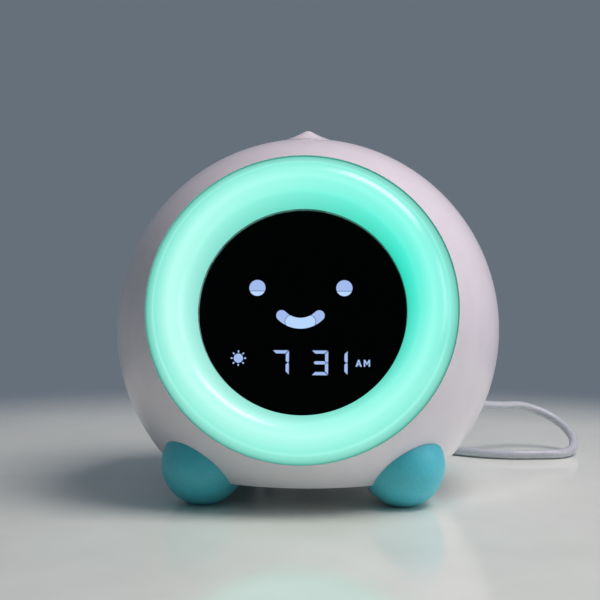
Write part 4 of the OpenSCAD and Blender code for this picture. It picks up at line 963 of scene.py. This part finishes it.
# %% [markdown]
# ## Screws
#
# The screws are zinc-plated steel with a cross recess. Plating gives a bright, slightly blue grey
# with a soft sheen. One pan-head screw is turned and its recess carved once, and then it is copied
# to all its places. The battery door's screw has a countersunk head.

# %% Zinc-plated screws
zinc, tree, shader = new_finish("zinc_plated_steel", "#b7bbc0", 0.32, metallic=1.0)
mottle(tree, shader, "#bcc0c5", "#aeb3b9", grain_mm=0.5, depth_mm=0.01)

CROSS = (
    (0.32, 0.32), (0.32, 1.25), (-0.32, 1.25), (-0.32, 0.32), (-1.25, 0.32), (-1.25, -0.32),
    (-0.32, -0.32), (-0.32, -1.25), (0.32, -1.25), (0.32, -0.32), (1.25, -0.32), (1.25, 0.32),
)
CROSS_DEEP, CROSS_TAPER = 0.95, 0.4
SHAFT_R, HEAD_R, HEAD_T = 1.1, 2.2, 1.4
PAN_HEAD = [
    (0, -5), (0.7, -5), (SHAFT_R, -4.4), (SHAFT_R, 0), (HEAD_R - 0.1, 0), (HEAD_R, 0.1), (HEAD_R, 0.6),
    (2.05, 0.95), (1.7, 1.22), (1.1, 1.36), (0, HEAD_T),
]
SUNK_HEAD = [(0, -3.5), (0.8, -3.5), (SHAFT_R, -3.1), (SHAFT_R, -1.2), (2.5, -0.06), (2.5, 0), (0, 0)]


def screws(name, profile, top, places, body, nodes):
    """Cross-recess screws, with their heads along each place's Z axis."""
    small = [(x * CROSS_TAPER, y * CROSS_TAPER) for x, y in CROSS]
    cutter = lofted([(small, top - CROSS_DEEP), (CROSS, top + 0.1)], Matrix())
    screw = carved(turned(profile, Matrix(), 32), cutter)
    return make_piece(name, copied(screw, places), zinc, body, nodes, crease=28)


def round_places(radius, angles, height):
    """Places on a circle about a frame's Z axis."""
    return [shift(radius * math.cos(a), radius * math.sin(a), height) for a in map(math.radians, angles)]


print("a cross of", len(CROSS), "corners,", 2 * HEAD_R, "mm heads")

# %% Screws in their places
PANEL_SCREWS_R, BASE_SCREWS_R, UNDERSIDE = 41.68, 35.9, -53.025
CASE_SCREW, DOOR_SCREW_Y = (50, 19, 22), 20.2

back_places = [BACK @ place for place in round_places(PANEL_SCREWS_R, (0, 90, 180, 270), BACK_DEPTH / MM)]
screws("rear_panel_screws", PAN_HEAD, HEAD_T, back_places, "clock", ["panel_screws"])
base_round = round_places(BASE_SCREWS_R, (60, 120, 240, 300), UNDERSIDE)
base_places = [BODY @ place @ turn(180, "X") for place in base_round]
screws("base_plate_screws", PAN_HEAD, HEAD_T, base_places, "clock", ["base_screws"])
aside, along, above = CASE_SCREW
case_places = [BODY @ shift(side * aside, along, above) @ turn(-90, "X") for side in (-1, 1)]
screws("shell_screws", PAN_HEAD, HEAD_T, case_places, "clock", ["case_screws"])
door_place = BODY @ shift(0, DOOR_SCREW_Y, UNDERSIDE) @ turn(180, "X")
screws("door_retaining_screw", SUNK_HEAD, 0, [door_place], "battery_door", ["door_screw"])
dress(zinc, "frame_screws", "plate_screws", "board_screws", "top_board_screws", "key_board_screws")
print("screws placed")

# %% [markdown]
# ## Inner mouldings
#
# Parts that stay inside are moulded without polish. White ABS carries the display and the lamps,
# and black ABS blocks stray light behind the display. Both are matt, with a spark-eroded grain. The
# display's light guide is frosted acrylic, which spreads a cool white.

# %% Matt inner plastics
matt_white, tree, shader = new_finish("matt_white_abs", "#e6e6e2", 0.55, ior=1.53)
mottle(tree, shader, "#e8e8e4", "#e1e1dd", grain_mm=0.8, depth_mm=0.02, detail=3.0)
dress(matt_white, "face_frame")
matt_black, tree, shader = new_finish("matt_black_abs", "#1f2124", 0.5, ior=1.53)
mottle(tree, shader, "#1d1f22", "#26282b", grain_mm=0.8, depth_mm=0.02, detail=3.0)
dress(matt_black, "display_plate", "dc_jack", "top_switch", "key_switches")
lit = {"Emission Color": linear("#c9d6ff"), "Emission Strength": 0.4}
guide, tree, shader = new_finish("frosted_acrylic_light_guide", "#eef1fa", 0.45, ior=1.49, more=lit)
mottle(tree, shader, "#f0f3fc", "#e8ecf6", grain_mm=1.2, depth_mm=0.02)
dress(guide, "backlight")
print("inner mouldings dressed")

# %% [markdown]
# ## Circuit boards and their parts
#
# A board is glass-fibre laminate under green solder resist. Copper tracks lie under the resist and
# show as slightly lighter, raised lines on a nearly square grid. The lamp board is white, to throw
# its light forward. Chips are dark filled epoxy, and the lamps are clear domes that glow mint.

# %% Solder resist, epoxy and lamps
TRACK_PITCH = 2.5


def board_finish(name, resist, track):
    """Solder resist over tracks that run on a nearly square grid."""
    finish, tree, shader = new_finish(name, resist, 0.3, ior=1.52)
    place = add(tree, "TexCoord").outputs["Object"]
    grid = {"Vector": place, "Scale": 1 / (TRACK_PITCH * MM), "Randomness": 0.35}
    cells = add(tree, "TexVoronoi", grid, feature="DISTANCE_TO_EDGE").outputs["Distance"]
    tree.links.new(two_tone(tree, cells, track, resist, 0.1, 0.16), shader.inputs["Base Color"])
    emboss(tree, shader, cells, 0.03, invert=True)
    return finish


green_resist = board_finish("green_solder_resist", "#1b6b45", "#2c8a5c")
dress(green_resist, "main_board", "top_switch_board", "key_board")
white_resist = board_finish("white_solder_resist", "#dfe3df", "#cfd6cf")
dress(white_resist, "led_board")
epoxy, tree, shader = new_finish("black_chip_epoxy", "#222326", 0.42, ior=1.55)
mottle(tree, shader, "#1f2023", "#2a2b2e", grain_mm=0.3, depth_mm=0.01, detail=4.0)
dress(epoxy, "main_chips")
lit = {"Emission Color": linear("#7dffd9"), "Emission Strength": 2.0}
lamp_resin, tree, shader = new_finish("clear_lamp_resin", "#d9fff2", 0.12, ior=1.53, more=lit)
mottle(tree, shader, "#dffff5", "#cdf7e8", grain_mm=1.0, depth_mm=0.002)
dress(lamp_resin, "leds")
print("boards dressed")

# %% [markdown]
# ## Loudspeaker, batteries and wiring
#
# The speaker has a pressed steel basket, a paper cone with felted fibres and a ferrite magnet. The
# cells wear a printed foil wrap, plain here. Their springs are nickel-plated wire and their
# contacts rolled brass. The ribbon cable is ribbed along its wires, which lie 1.27 mm apart.
# The ribs are drawn about twice as wide, so that they show. The battery leads have a red jacket.

# %% Speaker and cells
basket, tree, shader = new_finish("pressed_steel_basket", "#9a9da2", 0.38, metallic=1.0)
mottle(tree, shader, "#a0a3a8", "#92959b", grain_mm=1.5, depth_mm=0.01)
dress(basket, "speaker_frame")
paper, tree, shader = new_finish("felted_paper_cone", "#26272a", 0.85, ior=1.45)
mottle(tree, shader, "#1f2023", "#303134", grain_mm=0.25, depth_mm=0.05, detail=5.0)
dress(paper, "speaker_cone")
ferrite, tree, shader = new_finish("sintered_ferrite", "#34363a", 0.6, ior=1.8)
mottle(tree, shader, "#303236", "#3b3d41", grain_mm=0.4, depth_mm=0.03, detail=4.0)
dress(ferrite, "speaker_magnet")
foil, tree, shader = new_finish("printed_foil_wrap", "#3f6f9e", 0.3, more={"Coat Weight": 0.5})
mottle(tree, shader, "#3c6b99", "#4474a4", grain_mm=3, depth_mm=0.01)
dress(foil, "battery_cells")
dress(nickel, "battery_springs")
brass, tree, shader = new_finish("rolled_brass", "#c9a25a", 0.28, metallic=1.0)
mottle(tree, shader, "#cda75f", "#bf9850", grain_mm=0.6, depth_mm=0.003)
dress(brass, "battery_contacts")
print("speaker and cells dressed")

# %% Wires
RIB_PITCH = 2.505
ribbon, tree, shader = new_finish("ribbed_grey_pvc", "#a9abae", 0.42, ior=1.53)
place = add(tree, "TexCoord").outputs["Object"]
bands = {"Vector": place, "Scale": wave_scale(RIB_PITCH)}
ribs = add(tree, "TexWave", bands, bands_direction="X").outputs["Fac"]
tree.links.new(two_tone(tree, ribs, "#96989b", "#b4b6b9", 0, 1), shader.inputs["Base Color"])
emboss(tree, shader, ribs, 0.3)
dress(ribbon, "ribbon_cable")
red_pvc, tree, shader = new_finish("red_wire_pvc", "#b23a34", 0.38, ior=1.53)
mottle(tree, shader, "#b63d37", "#a93530", grain_mm=1.0, depth_mm=0.01)
dress(red_pvc, "battery_leads")
print("wires dressed")

# %% [markdown]
# ## Is anything left bare?
#
# Every CAD node that still shows has to carry a material with nodes. The ones that do not are
# listed here, so an empty list is right.

# %% Nodes without a finish
bare = [
    name
    for name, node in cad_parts.items()
    if not node.hide_render and not all(s.material and s.material.use_nodes for s in node.material_slots)
]
print("nodes still without a finish of their own:", bare)
